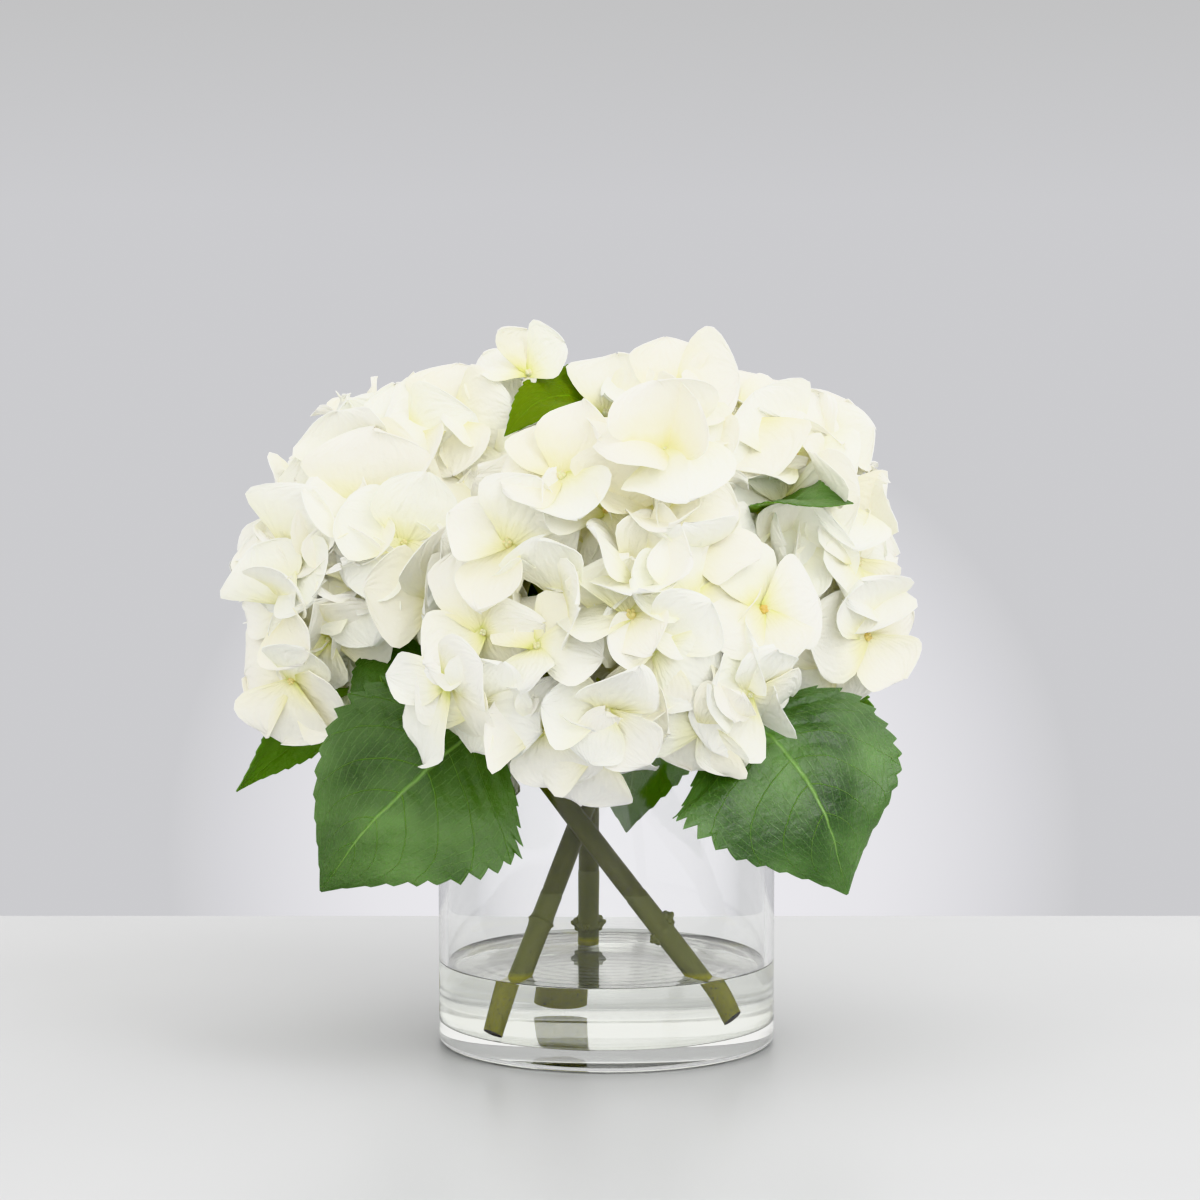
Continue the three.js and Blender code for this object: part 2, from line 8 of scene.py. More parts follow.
import bpy
import numpy as np
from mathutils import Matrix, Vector


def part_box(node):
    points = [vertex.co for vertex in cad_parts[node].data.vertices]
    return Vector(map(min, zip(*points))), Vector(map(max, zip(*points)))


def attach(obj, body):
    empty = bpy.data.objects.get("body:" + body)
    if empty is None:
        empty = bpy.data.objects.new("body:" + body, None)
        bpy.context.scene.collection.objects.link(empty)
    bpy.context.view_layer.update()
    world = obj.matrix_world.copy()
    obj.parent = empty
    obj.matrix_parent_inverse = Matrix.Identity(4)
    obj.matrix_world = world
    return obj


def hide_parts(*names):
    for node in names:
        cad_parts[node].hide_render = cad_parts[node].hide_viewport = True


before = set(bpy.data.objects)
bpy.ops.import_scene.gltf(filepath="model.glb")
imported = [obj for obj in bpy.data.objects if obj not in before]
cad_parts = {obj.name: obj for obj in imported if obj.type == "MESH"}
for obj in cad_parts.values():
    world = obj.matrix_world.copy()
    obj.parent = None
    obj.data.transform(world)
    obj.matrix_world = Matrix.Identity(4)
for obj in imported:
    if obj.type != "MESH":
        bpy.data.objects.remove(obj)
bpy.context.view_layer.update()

# ------------------------------------------------------------------ driving dimensions

VASE_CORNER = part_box("glass_vase")[1]
VASE_RADIUS = VASE_CORNER.x
VASE_HEIGHT = VASE_CORNER.z
WALL = 0.004
BASE = 0.009
FOOT_ROUND = 0.0025
RIM_ROUND = 0.0014
BASE_FILLET = 0.005
WATER_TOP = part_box("set_water")[1].z
WATER_INTO_GLASS = 0.00015  # the water reaches this far into the glass, so no air shows between them
MENISCUS = 0.0012  # how far the water is drawn up at the glass
MENISCUS_REACH = 0.0022
RIPPLE = 0.00007  # faint rings where the water set
RIPPLE_LENGTH = 0.0075
RIPPLE_REACH = 0.022  # they fade over this distance from the glass
SURFACE_RINGS = 150
SURFACE_MIDDLE = 0.012  # radius of the flat middle
TURNED_SIDES = 128
EDGE = 0.0004  # a ring this far past each round keeps the flat glass beside it flat

STEM_RADIUS = 0.005
STEM_SIDES = 28
STEM_RINGS = 260
PITH_RADIUS = 0.0016
PITH_DEPTH = 0.0025

PETALS = 4
PETAL_ROWS = 12
PETAL_COLUMNS = 9
PETAL_THICKNESS = 0.00032
STALK_RADIUS = 0.0009
BRANCH_RADIUS = 0.0022
STALK_SIDES = 6
STALK_RINGS = 9
STALK_END = 0.010  # straight end of a stalk, behind its floret
HUBS = 9  # branch ends inside a head, where the florets' stalks meet
HUB_DEPTH = 0.40  # share of a head's radius where they lie
HUB_TOP = 0.95  # they are spread downwards from this height on the unit ball
HUB_SPAN = 1.35
EYE_SIZES = (0.0014, 0.0025)  # smallest and largest
EYE_LIFT = 0.0012

LEAF_THICKNESS = 0.0006
LEAF_COLUMNS = 23
LEAF_TEETH = 15
TOOTH_STEPS = (0, 0.15, 0.30, 0.45, 0.60, 0.75, 0.84, 0.92)  # shares of a tooth where a row lies
TOOTH_PEAK = 0.84
TOOTH_DEPTH = 0.105
VEIN_PAIRS = 8
PETIOLE_RADIUS = 0.0017
PETIOLE_SIDES = 10
PETIOLE_RINGS = 16
PETIOLE_SUNK = 0.07  # share of the midrib that it runs under

# Stem centrelines from the cut foot to the top inside the head.
STEMS = {
    "stem_left_head": [
        (0.0525, -0.041, 0.018), (0.0389, -0.0375, 0.038), (-0.0108, -0.0225, 0.101),
        (-0.079, -0.004, 0.189)],
    "stem_right_head": [
        (-0.047, -0.0445, 0.012), (-0.0377, -0.038, 0.037), (-0.0122, -0.010, 0.1015),
        (0.024, 0.027, 0.193)],
    "stem_front_head": [
        (-0.0086, 0.0615, 0.0125), (-0.0082, 0.022, 0.106), (-0.0102, 0.008, 0.132),
        (-0.011, -0.027, 0.188)],
}
# Thicker places on a stem: share of its length, radius, half height, and buds as (angle in degrees
# round the stem, distance along it, size). Angle 0 is the +X side.
STEM_NODES = {
    "stem_left_head": (0.215, 0.0053, 0.0022, ((10, 0.0030, 0.0036), (195, -0.0012, 0.0029))),
    "stem_right_head": (0.255, 0.0058, 0.0017, ()),
    "stem_front_head": (0.175, 0.0060, 0.0026, ((5, 0.0, 0.0034), (175, 0.0, 0.0034), (255, 0.0005, 0.0024))),
}
STEM_JOINT = 0.0715  # height of the faint joint where the darker upper part of each stem begins
# Scales of a bud: centre along the stem, out of it and round it, and size, as shares of the bud's size.
BUD_SCALES = (
    (0.0, 0.0, 0.0, 1.0), (0.55, 0.15, 0.35, 0.62), (0.45, -0.10, -0.55, 0.55), (-0.55, 0.05, 0.30, 0.60),
    (-0.40, 0.10, -0.50, 0.50), (0.1, 0.75, 0.15, 0.45))

# A listed floret is (x, z, azimuth, elevation, four petals). Its x and z are where the photograph shows
# it, in the plane of the vase's axis; azimuth 0 faces the front and 90 faces +X. A petal is (turn, rise,
# length, half width): turn 0 points right and 90 up as one looks at the floret's face, rise is how far
# the petal folds forward, and half width is a share of the length. Angles are in degrees.
LEFT_FLORETS = [
    (-0.142, 0.164, -24, -10,
     (188, 0, 0.034, 0.80), (55, 12, 0.023, 0.72), (-30, 4, 0.034, 0.68), (-104, 8, 0.031, 0.80)),
    (-0.142, 0.222, -34, 8,
     (172, -6, 0.031, 0.62), (62, 12, 0.034, 0.72), (-38, 12, 0.030, 0.70), (-112, 10, 0.028, 0.72)),
    (-0.146, 0.200, -38, -8,
     (184, -2, 0.030, 0.60), (-62, 6, 0.031, 0.62), (40, 18, 0.028, 0.62), (110, 16, 0.028, 0.72)),
    (-0.106, 0.242, -14, 19,
     (88, 30, 0.035, 0.88), (180, 18, 0.031, 0.72), (2, 12, 0.034, 0.72), (-92, 6, 0.028, 0.62)),
    (-0.070, 0.273, -4, 25,
     (-82, 0, 0.030, 0.82), (168, 10, 0.035, 0.80), (62, 15, 0.032, 0.72), (8, 16, 0.030, 0.62)),
    (-0.077, 0.202, 8, -2,
     (58, 32, 0.042, 0.42), (98, 28, 0.037, 0.52), (-62, 12, 0.027, 0.68), (176, 14, 0.035, 0.64)),
    (-0.113, 0.208, -16, 4,
     (96, 16, 0.030, 0.62), (20, 26, 0.028, 0.62), (200, 10, 0.031, 0.64), (-72, 10, 0.029, 0.72)),
    (-0.070, 0.281, -8, 34,
     (92, 25, 0.027, 0.80), (10, 14, 0.031, 0.72), (186, 12, 0.030, 0.74), (-86, 8, 0.028, 0.76)),
    (-0.087, 0.274, -20, 25,
     (120, 12, 0.030, 0.78), (30, 18, 0.028, 0.72), (212, 10, 0.029, 0.70), (-62, 8, 0.030, 0.74)),
    (-0.110, 0.255, -30, 21,
     (110, 12, 0.031, 0.74), (20, 18, 0.030, 0.76), (196, 8, 0.031, 0.68), (-72, 10, 0.030, 0.74)),
    (-0.131, 0.238, -42, 18,
     (100, 10, 0.032, 0.68), (10, 16, 0.030, 0.72), (190, 2, 0.031, 0.66), (-80, 8, 0.030, 0.70)),
    (-0.035, 0.302, 4, 46,
     (84, 30, 0.020, 0.90), (20, 24, 0.022, 0.60), (146, 22, 0.022, 0.74), (-84, -10, 0.007, 0.50)),
    (-0.049, 0.278, 0, 33,
     (-100, 2, 0.027, 0.74), (75, 22, 0.027, 0.70), (170, 16, 0.028, 0.72), (-15, 24, 0.024, 0.60)),
    (-0.125, 0.183, -24, -14,
     (60, 20, 0.027, 0.66), (170, 10, 0.027, 0.70), (18, 14, 0.030, 0.66), (-110, 16, 0.025, 0.62)),
    (-0.091, 0.226, -6, 14,
     (75, 20, 0.033, 0.58), (150, 14, 0.032, 0.60), (-60, 14, 0.030, 0.62), (-140, 12, 0.030, 0.62)),
]
RIGHT_FLORETS = [
    (0.073, 0.177, 18, -2,
     (22, 22, 0.037, 0.62), (148, 32, 0.024, 0.62), (-78, 16, 0.031, 0.78), (84, 34, 0.027, 0.70)),
    (0.117, 0.184, 34, -4,
     (22, 2, 0.029, 0.52), (-58, 2, 0.024, 0.76), (112, 12, 0.033, 0.74), (176, 12, 0.033, 0.66)),
    (0.104, 0.217, 28, 8,
     (92, 6, 0.031, 0.78), (182, 8, 0.030, 0.74), (-2, 4, 0.029, 0.74), (-88, 6, 0.033, 0.76)),
    (0.084, 0.265, 18, 38,
     (124, 10, 0.033, 0.74), (68, 24, 0.034, 0.50), (192, 12, 0.033, 0.66), (-42, 10, 0.031, 0.74)),
    (0.028, 0.290, 0, 46,
     (97, 40, 0.029, 0.60), (2, 12, 0.033, 0.74), (184, 14, 0.031, 0.74), (-84, 4, 0.031, 0.84)),
    (0.059, 0.280, 8, 42,
     (98, 18, 0.031, 0.82), (18, 12, 0.031, 0.74), (198, 12, 0.029, 0.72), (-72, 6, 0.036, 0.72)),
    (0.000, 0.284, -8, 48,
     (150, 14, 0.029, 0.64), (88, 25, 0.028, 0.72), (-86, 4, 0.028, 0.74), (20, 16, 0.027, 0.64)),
    (0.102, 0.247, 42, 20,
     (62, 4, 0.028, 0.72), (150, 12, 0.031, 0.74), (-30, 0, 0.031, 0.72), (-112, 10, 0.029, 0.72)),
    (0.112, 0.218, 56, 4,
     (30, 0, 0.027, 0.72), (120, 10, 0.030, 0.72), (-60, 0, 0.029, 0.70), (210, 14, 0.030, 0.72)),
    (0.103, 0.173, 26, -14,
     (-76, 6, 0.027, 0.80), (-8, 8, 0.024, 0.66), (132, 18, 0.029, 0.72), (204, 12, 0.031, 0.66)),
    (0.080, 0.244, 14, 16,
     (175, 10, 0.034, 0.78), (100, 14, 0.030, 0.66), (-5, 12, 0.033, 0.70), (-80, 12, 0.031, 0.76)),
    (0.089, 0.198, 24, 4,
     (170, 14, 0.031, 0.66), (70, 18, 0.031, 0.70), (-20, 10, 0.031, 0.68), (-105, 14, 0.028, 0.66)),
]
FRONT_FLORETS = [
    (0.011, 0.193, 0, 46,
     (178, 8, 0.030, 0.62), (4, 5, 0.027, 0.62), (94, 14, 0.028, 0.80), (-62, 2, 0.021, 0.62)),
    (-0.031, 0.179, -14, 34,
     (122, 24, 0.025, 0.68), (-10, 20, 0.029, 0.54), (38, 12, 0.031, 0.62), (-102, 10, 0.021, 0.66)),
    (0.022, 0.179, 10, 4,
     (-96, -4, 0.034, 0.60), (-32, 10, 0.031, 0.64), (42, 14, 0.031, 0.64), (168, 20, 0.024, 0.54)),
    (-0.000, 0.150, -4, -14,
     (165, 5, 0.028, 0.60), (-52, 10, 0.029, 0.56), (62, 22, 0.030, 0.62), (-112, 26, 0.023, 0.60)),
    (-0.005, 0.133, -6, -32,
     (-98, 0, 0.034, 0.60), (-36, 8, 0.030, 0.50), (-178, 8, 0.030, 0.74), (78, 30, 0.021, 0.62)),
    (-0.072, 0.164, -34, -6,
     (184, 14, 0.030, 0.40), (-118, 4, 0.042, 0.44), (-62, 6, 0.032, 0.66), (22, 20, 0.029, 0.62)),
    (0.023, 0.241, 4, 48,
     (152, 16, 0.031, 0.74), (-6, 10, 0.034, 0.60), (82, 22, 0.029, 0.84), (-82, 26, 0.027, 0.62)),
    (0.000, 0.241, -8, 20,
     (-98, 0, 0.035, 0.60), (-76, 6, 0.031, 0.56), (158, 25, 0.031, 0.74), (64, 30, 0.031, 0.74)),
    (-0.055, 0.186, -22, 2,
     (102, 6, 0.038, 0.60), (206, 6, 0.029, 0.66), (-66, 10, 0.029, 0.64), (12, 24, 0.027, 0.52)),
    (0.039, 0.201, 20, 24,
     (172, 6, 0.031, 0.56), (52, 6, 0.034, 0.62), (-22, 14, 0.032, 0.62), (102, 24, 0.029, 0.74)),
    (0.044, 0.143, 18, -28,
     (-88, 0, 0.024, 0.80), (-58, 10, 0.026, 0.46), (174, 10, 0.035, 0.50), (62, 30, 0.026, 0.62)),
    (-0.027, 0.142, -12, -24,
     (156, 8, 0.027, 0.62), (-82, 6, 0.029, 0.72), (72, 16, 0.027, 0.64), (2, 16, 0.024, 0.62)),
    (0.064, 0.158, 28, -18,
     (-122, 6, 0.029, 0.72), (-18, 6, 0.031, 0.62), (82, 22, 0.027, 0.62), (162, 20, 0.027, 0.64)),
    (0.070, 0.196, 34, 12,
     (100, 6, 0.033, 0.62), (8, 12, 0.032, 0.66), (-80, 12, 0.027, 0.62), (190, 20, 0.029, 0.64)),
    (0.026, 0.268, 4, 52,
     (18, 50, 0.029, 0.84), (108, 58, 0.032, 0.88), (198, 50, 0.029, 0.84), (-72, 26, 0.030, 0.84)),
    (-0.020, 0.256, -8, 36,
     (122, 12, 0.028, 0.74), (76, 18, 0.035, 0.46), (202, 8, 0.027, 0.74), (-62, 12, 0.030, 0.62)),
    (-0.044, 0.226, -18, 18,
     (-100, 4, 0.034, 0.60), (60, 24, 0.032, 0.62), (22, 14, 0.031, 0.62), (160, 18, 0.029, 0.62)),
    (-0.059, 0.151, -26, -20,
     (-95, 2, 0.019, 0.80), (150, 20, 0.028, 0.66), (50, 20, 0.030, 0.66), (-20, 10, 0.028, 0.66)),
]
# Heads as balls.
HEADS = [
    {"name": "hydrangea_head_left", "stem": "stem_left_head", "centre": np.array((-0.076, 0.024, 0.216)),
     "radius": 0.080, "seed": 3, "florets": LEFT_FLORETS},
    {"name": "hydrangea_head_right", "stem": "stem_right_head", "centre": np.array((0.046, 0.028, 0.224)),
     "radius": 0.080, "seed": 11, "florets": RIGHT_FLORETS},
    {"name": "hydrangea_head_front", "stem": "stem_front_head", "centre": np.array((0.004, -0.056, 0.194)),
     "radius": 0.076, "seed": 23, "florets": FRONT_FLORETS},
]
# The other florets are spread evenly over the ball by rules: an outer, a middle and a deep layer.
# low and step are shares of the head's radius, vary adds to the petals' length, space is what the
# florets keep between them, sway is how far they lean, and cup is the petals' rise in degrees.
RULES = [
    {"count": 28, "low": 0.77, "step": 0.05, "length": 0.032, "vary": 0.004, "space": 0.031, "seed": 0,
     "sway": 0.3, "cup": (12, 26)},
    {"count": 60, "low": 0.70, "step": 0.04, "length": 0.034, "vary": 0.005, "space": 0.020, "seed": 500,
     "sway": 0.8, "cup": (20, 58)},
    {"count": 70, "low": 0.54, "step": 0.05, "length": 0.031, "vary": 0.004, "space": 0.017, "seed": 900,
     "sway": 0.5, "cup": (5, 35)},
]
RULE_LEVELS = 3  # levels in a layer, one step apart
GOLDEN_TURN = math.pi * (3 - math.sqrt(5))
HAND_HEIGHT = 0.87  # share of a head's radius where the listed florets lie
RIM_DEPTH = 0.65  # those past a head's outline lie this share of that in front of its middle
STEM_SPACE = 0.015  # room round the stems
LOWEST_FACING = -0.74  # no floret by a rule faces further down
PARTING_SPACE = 0.006  # room beside the plane that parts two heads
RIM_INNER = 0.0705  # petals near the rim hang inside this radius
RIM_OUTER = 0.0782  # or outside this one
RIM_MIDDLE = 0.072  # outside, where their low points are beyond this one on average
RIM_CLEAR = 0.155  # below this height they are moved all the way
RIM_FREE = 0.163  # and above this one not at all
PRESS = 0.004  # how gently petals flatten where two heads press together
PRESS_DEPTH = 0.009  # petals flatten at up to this distance past the plane between the heads
PRESS_REACH = 0.05  # points further in front of it stay as they are
# Gaps in the front of the heads, mostly over leaves: x, z and radius seen from the front, and a y. The
# florets by a rule have no petal there in front of that y.
GAPS = [
    (-0.027, 0.206, 0.007, -0.04),
    (-0.022, 0.197, 0.004, -0.04),
    (-0.010, 0.161, 0.003, -0.04),
    (-0.104, 0.168, 0.013, -0.03),
    (-0.092, 0.165, 0.010, -0.03),
    (0.012, 0.126, 0.011, 0.09),
    (0.018, 0.112, 0.013, 0.09),
]

# Leaves: node, way the upper face looks, half widths to the left and right of the midrib, rise of the
# margins, wave, how light the blade is, midrib from base to tip, and petiole points down to the stem.
LEAVES = [
    ("leaf_front_left", (-0.20, -0.9, 0.4), (0.050, 0.055), -0.1, 0.0022, 0.08,
     [(-0.052, -0.071, 0.153), (-0.075, -0.080, 0.138), (-0.103, -0.087, 0.111), (-0.124, -0.086, 0.082)],
     [(-0.011, -0.012, 0.166), (-0.032, -0.044, 0.166)]),
    ("leaf_front_right", (0.35, -0.85, 0.45), (0.060, 0.054), -0.14, 0.0024, 0.0,
     [(0.057, -0.066, 0.158), (0.078, -0.084, 0.144), (0.095, -0.095, 0.114), (0.104, -0.088, 0.081)],
     [(-0.011, -0.016, 0.171), (0.028, -0.044, 0.168)]),
    ("leaf_back_centre", (0.05, 0.95, 0.3), (0.038, 0.037), -0.1, 0.002, 0.06,
     [(0.014, 0.082, 0.158), (0.015, 0.092, 0.138), (0.013, 0.095, 0.110), (0.010, 0.092, 0.080)],
     [(0.010, 0.0125, 0.157), (0.013, 0.052, 0.164)]),
    ("leaf_far_left", (-0.45, 0.75, 0.5), (0.014, 0.027), -0.2, 0.0016, 0.08,
     [(-0.100, -0.002, 0.158), (-0.122, 0.002, 0.147), (-0.146, 0.004, 0.132), (-0.168, 0.0, 0.113)],
     [(-0.055, -0.0105, 0.158), (-0.076, -0.008, 0.160)]),
    ("leaf_under_left", (-0.15, -0.75, 0.65), (0.023, 0.023), 0.1, 0.0016, 0.05,
     [(-0.074, -0.026, 0.170), (-0.087, -0.034, 0.171), (-0.101, -0.043, 0.166), (-0.113, -0.050, 0.156)],
     [(-0.061, -0.009, 0.166), (-0.068, -0.018, 0.168)]),
    ("leaf_top", (-0.25, -0.85, 0.50), (0.015, 0.023), 0.12, 0.0015, 1.0,
     [(-0.002, 0.004, 0.280), (-0.016, -0.012, 0.293), (-0.031, -0.030, 0.291), (-0.045, -0.046, 0.277)],
     [(0.020, 0.023, 0.185), (0.008, 0.012, 0.236)]),
    ("leaf_right_gap", (0.2, -0.30, 0.93), (0.020, 0.020), 0.15, 0.0015, 0.1,
     [(0.066, -0.036, 0.243), (0.078, -0.046, 0.248), (0.092, -0.053, 0.250), (0.108, -0.052, 0.248)],
     [(0.021, 0.024, 0.187), (0.046, -0.018, 0.222)]),
    ("leaf_mid_gap", (-0.3, -0.85, 0.35), (0.015, 0.015), 0.1, 0.001, 0.1,
     [(-0.024, -0.036, 0.188), (-0.027, -0.050, 0.200), (-0.029, -0.063, 0.212), (-0.030, -0.075, 0.225)],
     [(-0.011, -0.016, 0.171), (-0.020, -0.024, 0.180)]),
    ("leaf_back_left", (-0.5, 0.75, 0.45), (0.033, 0.033), -0.1, 0.002, 0.08,
     [(-0.076, 0.058, 0.152), (-0.088, 0.078, 0.140), (-0.100, 0.092, 0.120), (-0.108, 0.098, 0.096)],
     [(-0.056, -0.010, 0.160), (-0.066, 0.028, 0.164)]),
    ("leaf_back_right", (0.55, 0.65, 0.5), (0.032, 0.033), -0.1, 0.002, 0.06,
     [(0.076, 0.052, 0.158), (0.094, 0.066, 0.150), (0.112, 0.078, 0.132), (0.124, 0.084, 0.106)],
     [(0.0125, 0.015, 0.163), (0.046, 0.036, 0.167)]),
]

CAMERA_PLACE = (-0.00293, -1.8, 0.37907)
CAMERA_DOWN = 5.666  # degrees below the level
CAMERA_LENS = 120.32  # millimetres, on a 36 mm sensor
TABLE = ((-2.2, -3.0, -0.03), (2.2, 0.315, -0.0003))  # two corners; its back edge shows behind the vase
BACKDROP = (0.635, 0.635, 0.655)
BACKDROP_TOP = (0.58, 0.58, 0.585)
DOME = (1.15, 1.14, 1.12)  # the brighter ceiling
FRONT_FILL = (1.30, 1.28, 1.24)  # the bright side of the studio, behind the camera
FRONT_FROM = (-0.1, -0.7)  # it begins where a way's y is the first and is full at the second
GLOW = (0.95, 0.94, 0.98)  # the backdrop is brighter right behind the vase
GLOW_WAY = (0.006, 0.985, -0.16)
GLOW_REACH = 6.5  # degrees
LAMP_AIM = (0, 0, 0.18)
# Soft round lamps: place, width, power in watts.
LAMPS = (
    ("key", (0.9, -0.8, 1.4), 1.0, 9.2),
    ("front", (0.3, -2.6, 1.3), 1.8, 6.5),
    ("side", (-1.6, 0.2, 0.9), 1.2, 0.8),
)


# ------------------------------------------------------------------ small helpers


def draw(i, k):
    """A repeatable number from 0 to 1 for the pair i, k."""
    s = math.sin(i * 127.1 + k * 311.7) * 43758.5453
    return s - math.floor(s)


def spread(i, k, low, high):
    """A repeatable number from low to high."""
    return low + (high - low) * draw(i, k)


def unit(v):
    """v at length 1, along the last axis."""
    v = np.asarray(v, float)
    return v / np.maximum(np.linalg.norm(v, axis=-1, keepdims=True), 1e-12)


def facing_of(azimuth, elevation):
    """Unit vector that faces an azimuth and elevation in degrees; azimuth 0 is the front."""
    az = math.radians(azimuth)
    el = math.radians(elevation)
    return np.array([math.sin(az) * math.cos(el), -math.cos(az) * math.cos(el), math.sin(el)])


def spiral_way(z, around):
    """Unit vector with the height z, turned by around."""
    flat = math.sqrt(1 - z * z)
    return np.array([flat * math.cos(around), flat * math.sin(around), z])


def path_points(points, t):
    """Points of the smooth curve through points at the shares t, evenly spaced knot by knot."""
    points = np.asarray(points, float)
    ends = [2 * points[0] - points[1], *points, 2 * points[-1] - points[-2]]
    ends = np.array(ends)
    t = np.clip(np.atleast_1d(t), 0, 1) * (len(points) - 1)
    knot = np.minimum(t.astype(int), len(points) - 2)
    f = (t - knot)[:, None]
    a, b, c, d = ends[knot], ends[knot + 1], ends[knot + 2], ends[knot + 3]
    return b + 0.5 * f * (c - a + f * (2 * a - 5 * b + 4 * c - d + f * (3 * (b - c) + d - a)))


def path_tangents(points, t):
    """Unit tangents of the same curve."""
    t = np.atleast_1d(t)
    step = 1e-4
    return unit(path_points(points, np.clip(t + step, 0, 1)) - path_points(points, np.clip(t - step, 0, 1)))


def even_path(points, count):
    """count points at equal distances along the curve, and their tangents."""
    fine = np.linspace(0, 1, 400)
    along = path_points(points, fine)
    length = np.concatenate([[0], np.cumsum(np.linalg.norm(np.diff(along, axis=0), axis=1))])
    t = np.interp(np.linspace(0, length[-1], count), length, fine)
    return path_points(points, t), path_tangents(points, t)


class Parts:
    """Vertices, faces and one colour-coding vector per vertex, gathered for one mesh."""

    def __init__(self):
        self.vertices = []
        self.faces = []
        self.codes = []
        self.slots = []
        self.count = 0

    def add(self, vertices, faces, codes, slot=0):
        """Adds one closed form; codes holds three numbers per vertex for the material."""
        vertices = np.asarray(vertices, float).reshape(-1, 3)
        codes = np.broadcast_to(np.asarray(codes, float), vertices.shape)
        self.faces += [tuple(i + self.count for i in face) for face in faces]
        self.slots += [slot] * len(faces)
        self.vertices.append(vertices)
        self.codes.append(codes)
        self.count += len(vertices)

    def build(self, name, materials, sharp=40):
        """Makes the object, smooth except across edges over sharp degrees."""
        mesh = bpy.data.meshes.new(name)
        mesh.from_pydata(np.concatenate(self.vertices).tolist(), [], self.faces)
        code = mesh.attributes.new("code", "FLOAT_VECTOR", "POINT")
        code.data.foreach_set("vector", np.concatenate(self.codes).astype(np.float32).ravel())
        for material in materials:
            mesh.materials.append(material)
        mesh.polygons.foreach_set("material_index", self.slots)
        mesh.shade_smooth()
        mesh.set_sharp_from_angle(angle=math.radians(sharp))
        mesh.validate()
        mesh.update()
        piece = bpy.data.objects.new(name, mesh)
        bpy.context.scene.collection.objects.link(piece)
        return piece


def blade(points, thickness):
    """Closed thin blade over a grid of points (rows, columns, 3): its vertices and faces."""
    rows, columns = points.shape[:2]
    normal = unit(np.cross(np.gradient(points, axis=0), np.gradient(points, axis=1)))
    top = points + normal * thickness / 2
    bottom = points - normal * thickness / 2
    lower = rows * columns
    at = np.arange(lower).reshape(rows, columns)
    faces = []
    for i in range(rows - 1):
        for j in range(columns - 1):
            a, b, c, d = at[i, j], at[i, j + 1], at[i + 1, j + 1], at[i + 1, j]
            faces.append((a, d, c, b))
            faces.append((a + lower, b + lower, c + lower, d + lower))
    loop = [*at[0, :-1], *at[:-1, -1], *at[-1, :0:-1], *at[:0:-1, 0]]
    for a, b in zip(loop, loop[1:] + loop[:1]):
        faces.append((a, b, b + lower, a + lower))
    return np.concatenate([top.reshape(-1, 3), bottom.reshape(-1, 3)]), faces


def sweep(centres, tangents, radii, sides, dents=None):
    """Closed tube of rings round the centres, with flat ends. dents scales each ring's points."""
    tangents = unit(tangents)
    side = unit(np.cross(tangents[0], (0.31, 0.87, 0.12)))
    angle = np.linspace(0, 2 * np.pi, sides, endpoint=False)
    rings = []
    for i, (centre, tangent, radius) in enumerate(zip(centres, tangents, radii)):
        side = unit(side - tangent * (side @ tangent))
        other = np.cross(tangent, side)
        reach = radius if dents is None else radius * dents[i][:, None]
        rings.append(centre + reach * (np.cos(angle)[:, None] * side + np.sin(angle)[:, None] * other))
    faces = [tuple(range(sides))[::-1]]
    for i in range(len(rings) - 1):
        for j in range(sides):
            k = (j + 1) % sides
            faces.append((i * sides + j, i * sides + k, (i + 1) * sides + k, (i + 1) * sides + j))
    faces.append(tuple(range((len(rings) - 1) * sides, len(rings) * sides)))
    return np.concatenate(rings), faces


def ball(centre, radii, axis=(0, 0, 1), rows=8, sides=12):
    """Closed ball or flattened ball with its poles on axis: radii are across and along it."""
    axis = unit(axis)
    level = np.cos(np.linspace(np.pi * 0.97, np.pi * 0.03, rows))
    centres = np.asarray(centre) + axis * (level * radii[1])[:, None]
    return sweep(centres, np.tile(axis, (rows, 1)), radii[0] * np.sqrt(1 - level**2), sides)


# ------------------------------------------------------------------ materials


